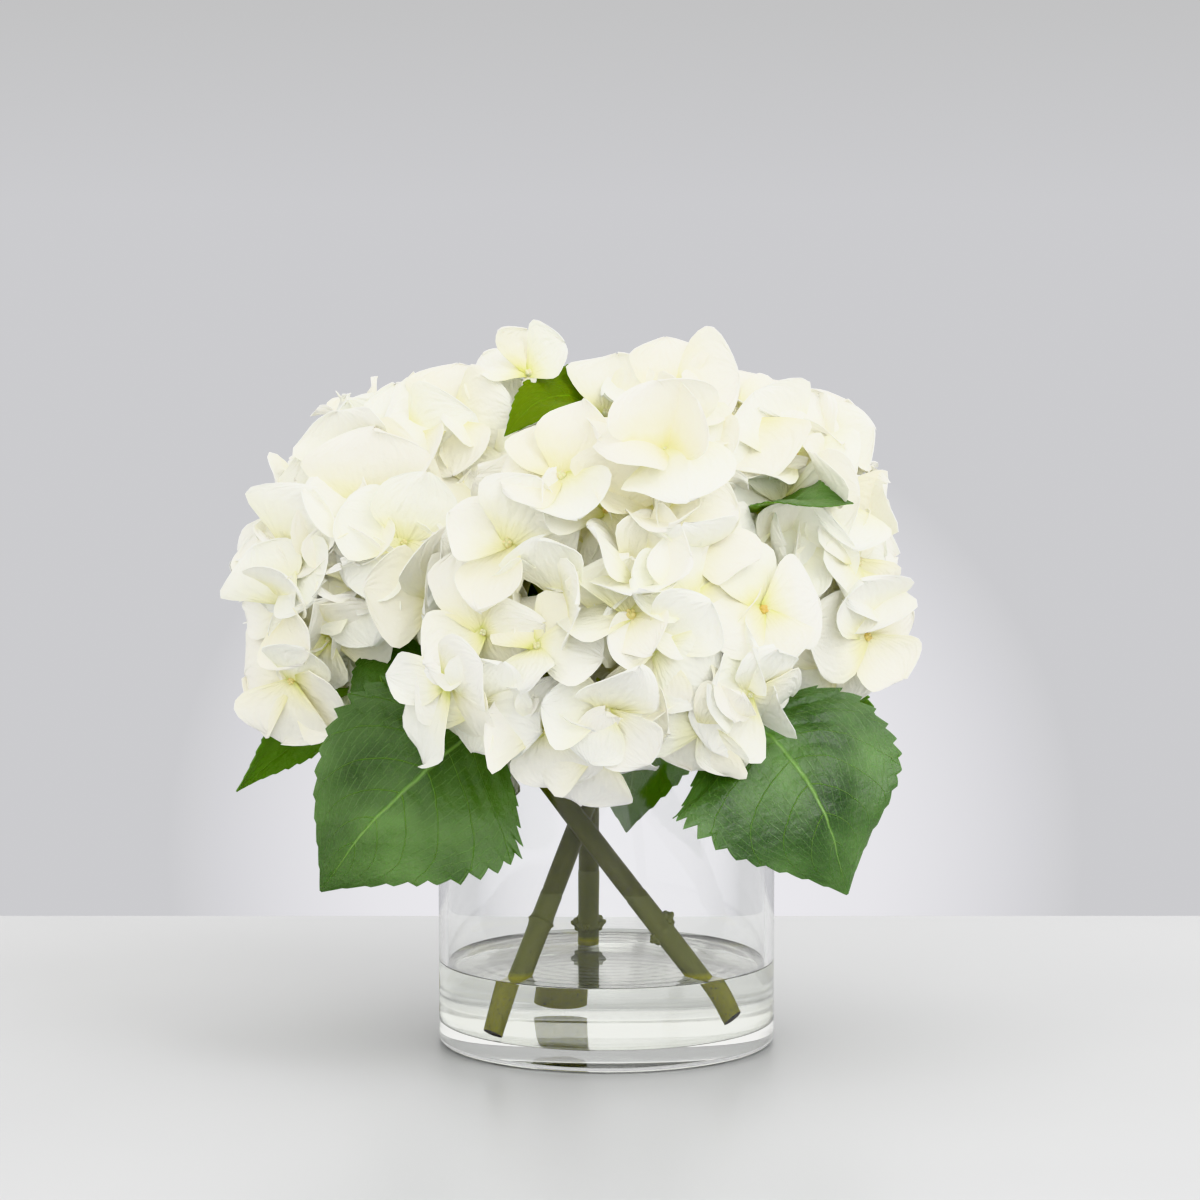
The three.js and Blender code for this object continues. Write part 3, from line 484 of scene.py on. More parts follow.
class Nodes:
    """A node tree under construction."""

    def __init__(self, tree):
        self.tree = tree

    def fill(self, socket, value):
        """Feeds a socket with another node's output, or with a number or colour."""
        if isinstance(value, bpy.types.NodeSocket):
            self.tree.links.new(value, socket)
        else:
            socket.default_value = (*value, 1) if socket.type == "RGBA" else value

    def node(self, kind, inputs=None, **settings):
        """Adds a node; its inputs are given by name or number."""
        node = self.tree.nodes.new(kind)
        for key, value in settings.items():
            setattr(node, key, value)
        for key, value in (inputs or {}).items():
            self.fill(node.inputs[key], value)
        return node

    def math(self, operation, a, b=0.0, clamp=False):
        """One step of arithmetic on two numbers."""
        return self.node("ShaderNodeMath", {0: a, 1: b}, operation=operation, use_clamp=clamp).outputs[0]

    def plus(self, a, b):
        """a + b."""
        return self.math("ADD", a, b)

    def times(self, a, b):
        """a * b."""
        return self.math("MULTIPLY", a, b)

    def line(self, away, thinness, top=1.0):
        """A line where away is 0: it falls from top by thinness per step away, between 0 and 1."""
        return self.math("SUBTRACT", top, self.times(away, thinness), clamp=True)

    def from_half(self, value):
        """How far the fraction of value is from one half."""
        return self.math("ABSOLUTE", self.math("SUBTRACT", self.math("FRACT", value), 0.5))

    def vector(self, x, y, z):
        """Three numbers as a vector."""
        return self.node("ShaderNodeCombineXYZ", {0: x, 1: y, 2: z}).outputs[0]

    def map_range(self, value, low, high=1.0):
        """Share of the way of value from low to high, between 0 and 1."""
        return self.node("ShaderNodeMapRange", {"Value": value, "From Min": low, "From Max": high}).outputs[0]

    def ramp(self, value, stops):
        """Colour that follows value through stops of (place, colour)."""
        node = self.node("ShaderNodeValToRGB", {0: value})
        elements = node.color_ramp.elements
        while len(elements) < len(stops):
            elements.new(0.5)
        for element, (place, colour) in zip(elements, stops):
            element.position = place
            element.color = (*colour, 1)
        return node.outputs[0]

    def mask(self, value, low, high, most=1.0):
        """0 below low, rising to most at high."""
        return self.ramp(value, [(low, (0.0,) * 3), (high, (most,) * 3)])

    def mix(self, share, a, b, blend="MIX"):
        """Mix of two colours."""
        inputs = {0: share, 6: a, 7: b}
        return self.node("ShaderNodeMix", inputs, data_type="RGBA", blend_type=blend).outputs[2]

    def noise(self, vector, scale, detail=3.0, roughness=0.5):
        """Soft noise from 0 to 1."""
        inputs = {"Vector": vector, "Scale": scale, "Detail": detail, "Roughness": roughness}
        return self.node("ShaderNodeTexNoise", inputs).outputs[0]

    def waver(self, noise, size):
        """Noise moved to lie round 0, times size."""
        return self.times(self.math("SUBTRACT", noise, 0.5), size)


class Shader(Nodes):
    """A material under construction: a Principled shader and the nodes that feed it."""

    def __init__(self, name, **sockets):
        self.material = bpy.data.materials.new(name)
        self.material.use_nodes = True
        super().__init__(self.material.node_tree)
        self.principled = self.tree.nodes["Principled BSDF"]
        for key, value in sockets.items():
            self.feed(key.replace("_", " "), value)

    def code(self):
        """The mesh's own three numbers at each point."""
        code = self.node("ShaderNodeAttribute", attribute_name="code").outputs["Vector"]
        return tuple(self.node("ShaderNodeSeparateXYZ", {0: code}).outputs)

    def place(self):
        """The point in the row frame."""
        return self.node("ShaderNodeTexCoord").outputs["Object"]

    def feed(self, socket, value):
        """Feeds one of the shader's own sockets."""
        self.fill(self.principled.inputs[socket], value)

    def bump(self, height, strength, distance):
        """Raises the surface by height times distance."""
        inputs = {"Height": height, "Strength": strength, "Distance": distance}
        self.feed("Normal", self.node("ShaderNodeBump", inputs).outputs[0])


def petal_material():
    """Satin petal cloth: white edges, cream and green-yellow towards the eye, fine lengthways veins.
    The code holds the share of the way out, the side from -1 to 1, and a number for each petal."""
    shader = Shader("petal_cloth", Roughness=0.6, Specular_IOR_Level=0.25, Subsurface_Weight=0.14,
                    Subsurface_Scale=0.0022, Subsurface_Radius=(1.0, 0.92, 0.68))
    shader.principled.subsurface_method = "BURLEY"
    out, side, own = shader.code()
    reach = shader.plus(out, shader.waver(shader.noise(shader.place(), 60, 2), 0.35))
    colour = shader.ramp(reach, [
        (0.0, (0.68, 0.70, 0.23)), (0.12, (0.87, 0.85, 0.55)), (0.34, (0.915, 0.905, 0.79)),
        (0.62, (0.925, 0.920, 0.870)), (1.0, (0.935, 0.932, 0.905))])
    warm = shader.ramp(own, [(0.0, (1.0, 0.99, 0.955)), (0.5, (1.0, 1.0, 1.0)), (1.0, (0.985, 1.0, 0.995))])
    colour = shader.mix(1.0, colour, warm, "MULTIPLY")
    veins = shader.noise(shader.vector(shader.times(out, 1.5), side, own), 14, 3, 0.6)
    shader.feed("Base Color", shader.mix(shader.times(veins, 0.08), colour, (0.85, 0.84, 0.68)))
    folds = shader.noise(shader.vector(out, shader.times(side, 1.6), own), 4, 1)
    weave = shader.noise(shader.place(), 1800, 1)
    height = shader.plus(shader.plus(veins, shader.times(weave, 0.2)), shader.times(folds, 4.0))
    shader.bump(height, 0.6, 0.0005)
    return shader.material


def eye_material():
    """Knobbly eye of a floret, cream to orange by floret, with painted shade darkening the ball beneath its
    knobs.
    """
    shader = Shader("floret_eye", Roughness=0.55, Subsurface_Weight=0.2, Subsurface_Scale=0.002)
    up, _, own = shader.code()
    colour = shader.ramp(own, [
        (0.0, (0.86, 0.83, 0.62)), (0.7, (0.86, 0.76, 0.38)), (1.0, (0.78, 0.48, 0.08))])
    # Painted shade: the ball (code 0.5) is darker and yellower than the knobs on top (code 1).
    painted_shade = shader.ramp(up, [(0.0, (0.75, 0.75, 0.55)), (1.0, (1.0, 1.0, 1.0))])
    shader.feed("Base Color", shader.mix(1.0, colour, painted_shade, "MULTIPLY"))
    shader.bump(shader.noise(shader.place(), 900, 2), 0.6, 0.0005)
    return shader.material


def stalk_material():
    """Yellow-green stalks and branchlets, greener where they join."""
    shader = Shader("floret_stalk", Roughness=0.5, Subsurface_Weight=0.15, Subsurface_Scale=0.002)
    along = shader.code()[0]
    colour = shader.ramp(along, [
        (0.0, (0.62, 0.62, 0.20)), (0.45, (0.46, 0.52, 0.13)), (1.0, (0.20, 0.30, 0.07))])
    tone = shader.noise(shader.place(), 220, 3)
    shader.feed("Base Color", shader.mix(shader.times(tone, 0.5), colour, (0.34, 0.40, 0.08)))
    shader.bump(tone, 0.3, 0.0004)
    return shader.material


def leaf_vein_masks(shader, course, side, place):
    """Leaf veins as masks: the midrib with the side veins that arch to the tip, and the fine rungs
    between the side veins."""
    middle = shader.line(side, 55.0, 1.3)
    wander = shader.waver(shader.noise(place, 90, 2), 0.12)
    cell = shader.plus(shader.times(course, float(VEIN_PAIRS)), wander)
    pairs = shader.line(shader.from_half(cell), shader.plus(shader.times(side, 34.0), 34.0))
    rung = shader.plus(shader.times(side, 13.0), shader.times(wander, 7.0))
    rung = shader.plus(rung, shader.times(shader.math("FLOOR", cell), 0.37))
    return shader.math("MAXIMUM", middle, pairs), shader.line(shader.from_half(rung), 11.0)


def leaf_material(name, light):
    """Coated leaf cloth with fine raised veins; paler and greyer below. The code holds the veins' own
    course, the side from 0 to 1, and 1 on the upper face."""
    shader = Shader(name, Roughness=0.4, Specular_IOR_Level=0.6 - 0.4 * light, Subsurface_Weight=0.25,
                    Subsurface_Scale=0.002, Subsurface_Radius=(0.35, 1.0, 0.15))
    course, side, upper = shader.code()
    place = shader.place()
    veins, rungs = leaf_vein_masks(shader, course, side, place)
    dark = (0.016 + 0.081 * light, 0.054 + 0.102 * light, 0.008 - 0.007 * light)
    fresh = (0.124 + 0.008 * light, 0.240 - 0.02 * light, 0.068 - 0.067 * light)
    tone = shader.noise(place, 30, 2, 0.5)
    colour = shader.mix(shader.mask(tone, 0.25, 0.75), dark, fresh)
    net = shader.node("ShaderNodeTexVoronoi", {"Vector": place, "Scale": 650.0}, feature="DISTANCE_TO_EDGE")
    small = shader.line(net.outputs["Distance"], 9.0)
    fine = shader.math("MAXIMUM", shader.times(small, 0.3), rungs)
    colour = shader.mix(shader.times(fine, 0.5), colour, (0.14, 0.27, 0.07 - 0.05 * light))
    colour = shader.mix(shader.times(veins, 0.9), colour, (0.20, 0.37, 0.09 - 0.07 * light))
    under = shader.mix(shader.times(veins, 0.6), (0.13, 0.27, 0.02), (0.22, 0.38, 0.06))
    shader.feed("Base Color", shader.mix(upper, under, colour))
    shader.feed("Roughness", shader.plus(shader.times(tone, 0.28), 0.28))
    pucker = shader.noise(place, 160, 3, 0.55)
    relief = shader.plus(shader.times(veins, 0.5), shader.times(fine, 0.12))
    shader.bump(shader.plus(relief, shader.times(pucker, 1.3)), 0.8, 0.0012)
    return shader.material


def stem_material():
    """Olive bark with lengthways streaks, darker above the joint and yellow-green in the water, where it is
    brightened by painted light that stands in for the light through the glass and water.
    The code holds the height in decimetres, a turn round the stem and the share along it."""
    shader = Shader("stem_bark", Roughness=0.5, Specular_IOR_Level=0.25)
    height, turn, along = shader.code()
    # Below the water (under 0.36 dm) the stem's own yellow-green is made much brighter: painted light
    # standing in for the light that passes through the glass and water.
    colour = shader.ramp(height, [
        (0.10, (0.62, 0.60, 0.001)), (0.36, (0.62, 0.60, 0.001)), (0.385, (0.225, 0.245, 0.050)),
        (0.711, (0.160, 0.180, 0.030)), (0.715, (0.100, 0.108, 0.001)), (1.0, (0.088, 0.100, 0.001))])
    streaks = shader.noise(shader.vector(shader.times(height, 4.0), turn, along), 9, 4, 0.65)
    specks = shader.noise(shader.place(), 700, 2)
    colour = shader.mix(shader.mask(streaks, 0.35, 0.75, 0.3), colour, (0.24, 0.24, 0.05))
    colour = shader.mix(shader.mask(specks, 0.62, 0.72, 0.6), colour, (0.07, 0.06, 0.02))
    shader.feed("Base Color", colour)
    shader.bump(shader.plus(streaks, shader.times(specks, 0.4)), 0.5, 0.0006)
    return shader.material


def pith_material():
    """Dark dry pith and the cut face round it."""
    shader = Shader("cut_foot", Roughness=0.8)
    grain = shader.noise(shader.place(), 900, 3)
    colour = shader.ramp(grain, [(0.3, (0.045, 0.03, 0.012)), (0.7, (0.16, 0.12, 0.05))])
    shader.feed("Base Color", colour)
    shader.bump(grain, 0.5, 0.0004)
    return shader.material


def clear_material(name, ior, tints, waviness, unevenness):
    """Clear stuff that bends light: a faint tint, and a surface that waves a little."""
    shader = Shader(name, Roughness=0.0, IOR=ior, Transmission_Weight=1.0)
    wave = shader.noise(shader.place(), waviness, 2)
    shader.feed("Base Color", shader.ramp(wave, list(zip((0.3, 0.7), tints))))
    shader.bump(wave, unevenness, 0.002)
    return shader.material


def glass_material():
    """Clear glass, with a trace of grey-green and the faintest waviness from its making."""
    return clear_material("clear_glass", 1.5, [(0.993, 0.998, 0.995), (0.996, 0.999, 0.997)], 9, 0.02)


def water_material():
    """Clear set water, hardly tinted, with a slightly uneven top."""
    return clear_material("clear_water", 1.49, [(0.925, 0.940, 0.905), (0.940, 0.955, 0.920)], 26, 0.03)


def table_material():
    """Plain pale table top."""
    shader = Shader("pale_table", Roughness=0.35, Specular_IOR_Level=0.4)
    tone = shader.noise(shader.place(), 3, 2)
    shader.feed("Base Color", shader.ramp(tone, [(0.3, (0.545, 0.552, 0.568)), (0.7, (0.580, 0.587, 0.602))]))
    return shader.material


# ------------------------------------------------------------------ vase and water


def arc(radius, height, reach, start, end, steps):
    """Arc of (radius, height) points round a centre, from one angle to another in degrees."""
    angles = np.radians(np.linspace(start, end, steps + 1))
    return [(radius + reach * math.cos(a), height + reach * math.sin(a)) for a in angles]


def turned(profile):
    """Closed turned form: profile of (radius, height) from the axis back to the axis."""
    angle = np.linspace(0, 2 * np.pi, TURNED_SIDES, endpoint=False)
    inner = profile[1:-1]
    rings = [[(r * math.cos(a), r * math.sin(a), z) for a in angle] for r, z in inner]
    vertices = [(0, 0, profile[0][1]), (0, 0, profile[-1][1]), *[p for ring in rings for p in ring]]
    faces = []
    last = 2 + (len(rings) - 1) * TURNED_SIDES
    for j in range(TURNED_SIDES):
        k = (j + 1) % TURNED_SIDES
        faces.append((0, 2 + k, 2 + j))
        faces.append((1, last + j, last + k))
        for i in range(len(rings) - 1):
            low = 2 + i * TURNED_SIDES
            high = low + TURNED_SIDES
            faces.append((low + j, low + k, high + k, high + j))
    return vertices, faces


def make_vase():
    """The glass cylinder with its thick base and fire-rounded rim."""
    inner = VASE_RADIUS - WALL
    rim = VASE_HEIGHT - RIM_ROUND
    profile = [
        (0, 0),
        (VASE_RADIUS - FOOT_ROUND - EDGE, 0),
        *arc(VASE_RADIUS - FOOT_ROUND, FOOT_ROUND, FOOT_ROUND, -90, 0, 10),
        (VASE_RADIUS, FOOT_ROUND + EDGE),
        (VASE_RADIUS, rim - EDGE),
        *arc(VASE_RADIUS - RIM_ROUND, rim, RIM_ROUND, 0, 90, 8),
        *arc(inner + RIM_ROUND, rim, RIM_ROUND, 90, 180, 8),
        (inner, rim - EDGE),
        (inner, BASE + BASE_FILLET + EDGE),
        *arc(inner - BASE_FILLET, BASE + BASE_FILLET, BASE_FILLET, 0, -90, 16),
        (inner - BASE_FILLET - EDGE, BASE),
        (0, BASE),
    ]
    parts = Parts()
    parts.add(*turned(profile), (0, 0, 0))
    return parts.build("vase_glass", [glass_material()], 60)


def make_water():
    """The set water, drawn up a little where it meets the glass."""
    reach = WATER_INTO_GLASS
    wall = VASE_RADIUS - WALL + reach
    floor = BASE - reach
    fillet = BASE_FILLET + reach
    surface = []
    for radius in np.linspace(wall, SURFACE_MIDDLE, SURFACE_RINGS):
        inward = wall - radius
        drop = MENISCUS * (1 - math.exp(-inward / MENISCUS_REACH))
        ring = math.cos(2 * math.pi * inward / RIPPLE_LENGTH) * math.exp(-inward / RIPPLE_REACH)
        surface.append((radius, WATER_TOP - drop - RIPPLE * (1 - ring)))
    profile = [
        (0, floor),
        (wall - fillet - EDGE, floor),
        *arc(wall - fillet, floor + fillet, fillet, -90, 0, 16),
        (wall, floor + fillet + EDGE),
        (wall, WATER_TOP - EDGE),
        *surface,
        (0, surface[-1][1]),
    ]
    parts = Parts()
    parts.add(*turned(profile), (0, 0, 0))
    return parts.build("water_clear", [water_material()], 60)


# ------------------------------------------------------------------ stems


def stem_radii(name, centres, share, length):
    """Radius at each ring: a slow waver, the ridged swelling of the node and the step at the joint."""
    at, ring, half, _ = STEM_NODES[name]
    number = list(STEMS).index(name)
    waver = -0.00012 * (1 + np.sin(share * 23 + number * 2)) * np.abs(np.sin(share * 9 + number))
    off = (share - at) * length
    swell = np.exp(-((off / half) ** 2)) * (ring - STEM_RADIUS)
    ridges = 0.00025 * np.cos(off / half * 4.5) * np.exp(-((off / half / 1.3) ** 2))
    past = centres[:, 2] - STEM_JOINT
    joint = -0.00018 / (1 + np.exp(-past / 0.0003)) - 0.0003 * np.exp(-((past / 0.0004) ** 2))
    return STEM_RADIUS + waver + swell + ridges + joint


def make_stem(name, materials):
    """A stem with its swollen node, side buds and a cut foot whose pith has shrunk back."""
    at, _, _, buds = STEM_NODES[name]
    centres, tangents = even_path(STEMS[name], STEM_RINGS)
    length = np.linalg.norm(np.diff(centres, axis=0), axis=1).sum()
    share = np.linspace(0, 1, STEM_RINGS)
    radii = stem_radii(name, centres, share, length)
    way = tangents[0]
    foot = [centres[0] + way * PITH_DEPTH, centres[0] + way * PITH_DEPTH, centres[0], centres[0]]
    foot_radii = [PITH_RADIUS * 0.2, PITH_RADIUS, PITH_RADIUS, STEM_RADIUS * 0.94]
    parts = Parts()
    all_centres = np.concatenate([foot, centres])
    all_tangents = np.concatenate([np.tile(way, (4, 1)), tangents])
    vertices, faces = sweep(all_centres, all_tangents, np.concatenate([foot_radii, radii]), STEM_SIDES)
    turn = np.tile(np.abs(np.linspace(-1, 1, STEM_SIDES)), len(all_centres))
    along = np.repeat(np.concatenate([[0] * 4, share]), STEM_SIDES)
    codes = np.stack([vertices[:, 2] * 10, turn, along], axis=1)
    cut = 1 + 4 * STEM_SIDES
    parts.add(vertices, faces[cut:], codes)
    parts.faces += faces[:cut]
    parts.slots += [1] * cut
    ring = round(at * (STEM_RINGS - 1))
    place, axis = centres[ring], tangents[ring]
    side = unit(np.cross((0, 1, 0), axis))
    side = side if side[0] > 0 else -side
    other = np.cross(axis, side)
    for angle, step, size in buds:
        out = math.cos(math.radians(angle)) * side + math.sin(math.radians(angle)) * other
        round_it = np.cross(axis, out)
        foot_of_bud = place + axis * step + out * (STEM_RADIUS - 0.15 * size)
        for a, b, c, share_of in BUD_SCALES:
            centre = foot_of_bud + size * (a * axis + b * out + c * round_it)
            leaning = out + axis * (0.8 if a >= 0 else -0.4)
            scale, scale_faces = ball(centre, (size * share_of * 0.8, size * share_of), leaning)
            parts.add(scale, scale_faces, (place[2] * 10, 0.3 + 0.3 * share_of, at))
    return parts.build(name.replace("stem", "bark"), materials, 50)


# ------------------------------------------------------------------ leaves


def leaf_width(u):
    """Half width of a pointed ovate leaf along its midrib, as a share of its widest."""
    return np.maximum(np.sin(np.pi * u**0.72), 0) ** 0.9 * (1 - 0.42 * u**5)


def vein_course(u, s):
    """Share along the midrib where the vein through (u, s) starts: veins arch towards the tip."""
    return u - (0.14 + 0.31 * u) * s**1.15


def leaf_grid(number, face, halves, rise, wave_size, midrib):
    """Points of a leaf's sheet with its codes: toothed margins, pillows between sunken veins."""
    u = np.array([(i + step) / LEAF_TEETH for i in range(LEAF_TEETH) for step in TOOTH_STEPS])
    u = np.append(u, 1.0)[:, None] * 0.992 + 0.004
    s = np.linspace(-1, 1, LEAF_COLUMNS)[None, :]
    away = np.abs(s)
    path = path_points(midrib, u[:, 0])
    along = path_tangents(midrib, u[:, 0])
    across = unit(np.cross(np.asarray(face), along))
    up = np.cross(along, across)
    count = LEAF_TEETH * len(TOOTH_STEPS) + 1
    teeth = np.arange(count) // len(TOOTH_STEPS)
    tooth = np.array([*TOOTH_STEPS * LEAF_TEETH, 0])
    saw = np.where(tooth <= TOOTH_PEAK, tooth / TOOTH_PEAK, (1 - tooth) / (1 - TOOTH_PEAK))
    left_size = np.array([spread(number, i, 0.45, 1.15) for i in teeth])
    right_size = np.array([spread(number, i + 50, 0.45, 1.15) for i in teeth])
    saw = (saw - 0.5)[:, None] * np.where(s < 0, left_size[:, None], right_size[:, None])
    reach = 1 + TOOTH_DEPTH * saw * np.maximum(away - 0.82, 0) / 0.18
    half = np.where(s < 0, *halves) * leaf_width(u) * reach
    wave = wave_size * np.sin(9 * u + 2 * np.sign(s)) * away**2 * leaf_width(u)
    lift = rise * half * away + wave
    course = vein_course(u, away)
    cell = np.abs((course * VEIN_PAIRS) % 1.0 - 0.5) * 2
    pillow = 1 - (1 - cell) ** 2.5
    middle = np.exp(-((away / 0.08) ** 2))
    breadth = leaf_width(u) * max(halves)
    lift = lift + 0.05 * breadth * pillow * (0.25 + away) * (1.15 - away) - 0.04 * breadth * middle
    lift = lift + 0.022 * breadth * np.sin(6 * s + 11 * u + number)
    lift = lift + 0.012 * breadth * np.sin(23 * s + 5 * np.sin(9 * u + number)) * np.sin(31 * u + 4 * s)
    points = path[:, None, :] + across[:, None, :] * (s * half)[..., None] + up[:, None, :] * lift[..., None]
    codes = np.stack([course + 0.5 / VEIN_PAIRS, away + 0 * u, np.ones_like(course)], axis=-1)
    return points, codes


def make_leaf(number, stalk_look):
    """One leaf: its blade and the petiole down to the stem."""
    node, face, halves, rise, wave, light, midrib, petiole = LEAVES[number]
    points, codes = leaf_grid(number, face, halves, rise, wave, midrib)
    vertices, faces = blade(points, LEAF_THICKNESS)
    upper = codes.reshape(-1, 3)
    under = upper * (1, 1, 0)
    parts = Parts()
    parts.add(vertices, faces, np.concatenate([upper, under]))
    root = path_points(midrib, PETIOLE_SUNK)[0]
    centres, tangents = even_path([*petiole, root], PETIOLE_RINGS)
    radii = PETIOLE_RADIUS * np.linspace(1.0, 0.75, PETIOLE_RINGS)
    parts.add(*sweep(centres, tangents, radii, PETIOLE_SIDES), (0.6, 0, 0.5), 1)
    name = node.replace("leaf", "blade")
    return parts.build(name, [leaf_material(name + "_look", light), stalk_look], 50)


# ------------------------------------------------------------------ flower heads


def seen_at(x, z, head):
    """The place on a head's ball that the camera sees at (x, z) of the plane of the vase's axis."""
    eye = np.array(CAMERA_PLACE)
    way = unit(np.array([x, 0, z]) - eye)
    towards = head["centre"] - eye
    nearest = towards @ way
    radius = head["radius"] * HAND_HEIGHT
    reach = radius**2 - (towards @ towards - nearest**2)
    return eye + way * (nearest - math.sqrt(max(reach, (radius * RIM_DEPTH) ** 2)))


def floret_by_hand(spec, head, i):
    """A floret that the photograph shows well."""
    x, z, azimuth, elevation, *petals = spec
    return {
        "centre": seen_at(x, z, head), "facing": facing_of(azimuth, elevation), "petals": petals,
        "seed": head["seed"] + i / 7, "hand": True,
    }


def past_plane(point, head, other):
    """Signed distance of points past the plane that parts a head from its neighbour, and its normal."""
    between = other["centre"] - head["centre"]
    share = head["radius"] / (head["radius"] + other["radius"])
    normal = unit(between)
    return (point - head["centre"] - between * share) @ normal, normal


def is_free(centre, head, placed, space):
    """True where a floret by a rule has room."""
    if any(past_plane(centre, head, other)[0] > -PARTING_SPACE for other in HEADS if other is not head):
        return False
    if any(np.linalg.norm(one["centre"] - centre) < space for one in placed):
        return False
    stems = [path_points(points, np.linspace(0, 1, 25)) for points in STEMS.values()]
    return all(np.linalg.norm(stem - centre, axis=1).min() > STEM_SPACE for stem in stems)


def florets_by_rule(head, placed, rule):
    """Florets at even steps of a spiral round the ball, where none of the placed ones are near."""
    found = []
    for i in range(rule["count"]):
        seed = head["seed"] * 10 + i + rule["seed"]
        z = 1 - (2 * (i + 0.5)) / rule["count"]
        way = spiral_way(z, GOLDEN_TURN * i + head["seed"])
        height = rule["low"] + rule["step"] * (i % RULE_LEVELS)
        centre = head["centre"] + way * head["radius"] * height
        if z < LOWEST_FACING or not is_free(centre, head, placed, rule["space"]):
            continue
        sway = np.array([draw(seed, 2) - 0.5, draw(seed, 3) - 0.5, draw(seed, 4) - 0.4])
        length = rule["length"] + rule["vary"] * draw(seed, 6)
        cup = spread(seed, 7, *rule["cup"])
        petals = []
        for k in range(PETALS):
            turn = 90 * (draw(seed, 5) + k) + 14 * (draw(seed, k + 10) - 0.5)
            rise = cup + 34 * (draw(seed, k + 20) - 0.5)
            half = spread(seed, k + 40, 0.52, 0.72)
            petals.append((turn, rise, length * spread(seed, k + 30, 0.84, 1.0), half))
        facing = unit(way + sway * rule["sway"])
        found.append({"centre": centre, "facing": facing, "petals": petals, "seed": seed, "hand": False})
    return found


def florets_of(head):
    """All the florets of a head: those listed, and the layers by rules that fill in."""
    placed = [floret_by_hand(spec, head, i) for i, spec in enumerate(head["florets"])]
    for rule in RULES:
        placed += florets_by_rule(head, placed, rule)
    return placed


def petal_half(r, half, widest, rounding):
    """Half width of a petal a share r of the way out: a narrow claw, then broad, then a soft tip."""
    claw = 0.10
    rising = claw + (half - claw) * np.sin(0.5 * np.pi * np.clip(r / widest, 0, 1)) ** 1.15
    falling = half * np.cos(0.5 * np.pi * np.clip((r - widest) / (1 - widest), 0, 1)) ** rounding
    return np.maximum(np.where(r < widest, rising, falling), 0.025)


def petal_grid(floret, k):
    """Points of petal k of a floret, with the share of the way out and the side of each."""
    seed = floret["seed"]
    facing = floret["facing"]
    right = np.cross((0, 0, 1), facing)
    right = unit(right) if np.linalg.norm(right) > 0.1 else np.array([1.0, 0, 0])
    upward = np.cross(facing, right)
    turn, pitch, length, half = floret["petals"][k]
    turn, pitch = math.radians(turn), math.radians(pitch)
    out = right * math.cos(turn) + upward * math.sin(turn)
    across = -right * math.sin(turn) + upward * math.cos(turn)
    way = out * math.cos(pitch) + facing * math.sin(pitch)
    up = -out * math.sin(pitch) + facing * math.cos(pitch)

    r = np.sin(0.5 * np.pi * np.linspace(0, 1, PETAL_ROWS))[:, None]
    s = np.linspace(-1, 1, PETAL_COLUMNS)[None, :]
    w = s * petal_half(r, half, spread(seed, k + 50, 0.50, 0.66), spread(seed, k + 60, 0.42, 0.78))
    sides, back = petal_bend(seed, k)
    phase = 6.28 * draw(seed, k + 90)
    ruffle = spread(seed, k + 100, 0.04, 0.14)
    margin = ruffle * np.sin(9 * r + phase + 1.9 * np.sign(s)) * np.abs(s) ** 2.5 * r
    edge = np.sin(10 * r + 2 * phase + 2.3 * np.sign(s)) * np.abs(s) * r
    w = w * (1 + spread(seed, k + 125, 0.02, 0.13) * edge)
    tip = spread(seed, k + 105, 0.0, 0.05) * np.sin(3.5 * s + phase) * r**5
    curl = spread(seed, k + 110, -0.9, 1.3) * np.maximum(r - 0.72, 0) ** 2
    lift = sides * (0.55 / half) ** 2 * w**2 - back * r**2 + margin + tip + curl + 0.03 * (k % 2)
    twist = math.radians(15) + math.radians(spread(seed, k + 115, -26, 26)) * r
    flat = w * np.cos(twist)
    rise = lift + w * np.sin(twist)
    bend = spread(seed, k + 120, -0.12, 0.12) * r**2
    points = floret["centre"] + length * (
        (r + 0 * w)[..., None] * way + (flat + bend)[..., None] * across + rise[..., None] * up)
    return points, r + 0 * w, s + 0 * r


def petal_bend(seed, k):
    """How much a petal's sides rise and its tip bends back: most are shallow, some cupped or domed."""
    kind = draw(seed, k + 65)
    if kind < 0.28:
        return spread(seed, k + 70, 0.5, 1.15), spread(seed, k + 80, -0.30, 0.05)
    if kind < 0.55:
        return spread(seed, k + 70, -0.45, -0.05), spread(seed, k + 80, 0.25, 0.65)
    return spread(seed, k + 70, 0.05, 0.60), spread(seed, k + 80, 0.0, 0.35)


def clear_of_rim(points):
    """Moves a petal's points near the rim clear of the glass, in or out as the petal lies."""
    radius = np.hypot(points[..., 0], points[..., 1])
    low = np.clip((RIM_FREE - points[..., 2]) / (RIM_FREE - RIM_CLEAR), 0, 1)
    if (radius * (low > 0)).sum() > RIM_MIDDLE * (low > 0).sum():
        wanted = np.maximum(radius, RIM_OUTER)
    else:
        wanted = np.minimum(radius, RIM_INNER)
    points[..., :2] *= (1 + low * (wanted / np.maximum(radius, 1e-6) - 1))[..., None]
    return points


def pressed(points, head, seed):
    """Flattens petals where the head presses against its neighbours, each at its own depth."""
    for other in HEADS:
        if other is head:
            continue
        past, normal = past_plane(points, head, other)
        past = past - PRESS_DEPTH * draw(seed, 7)
        kept = -PRESS * np.log1p(np.exp(np.clip(-past / PRESS, -30, 30)))
        kept = np.where(past < -PRESS_REACH, past, kept)
        points = points + (kept - past)[..., None] * normal
    return points


def in_gap(points):
    """True for a petal that would hide one of the gaps from the front."""
    return any(
        (np.hypot(points[..., 0] - x, points[..., 2] - z)[points[..., 1] < y] < radius).any()
        for x, z, radius, y in GAPS)


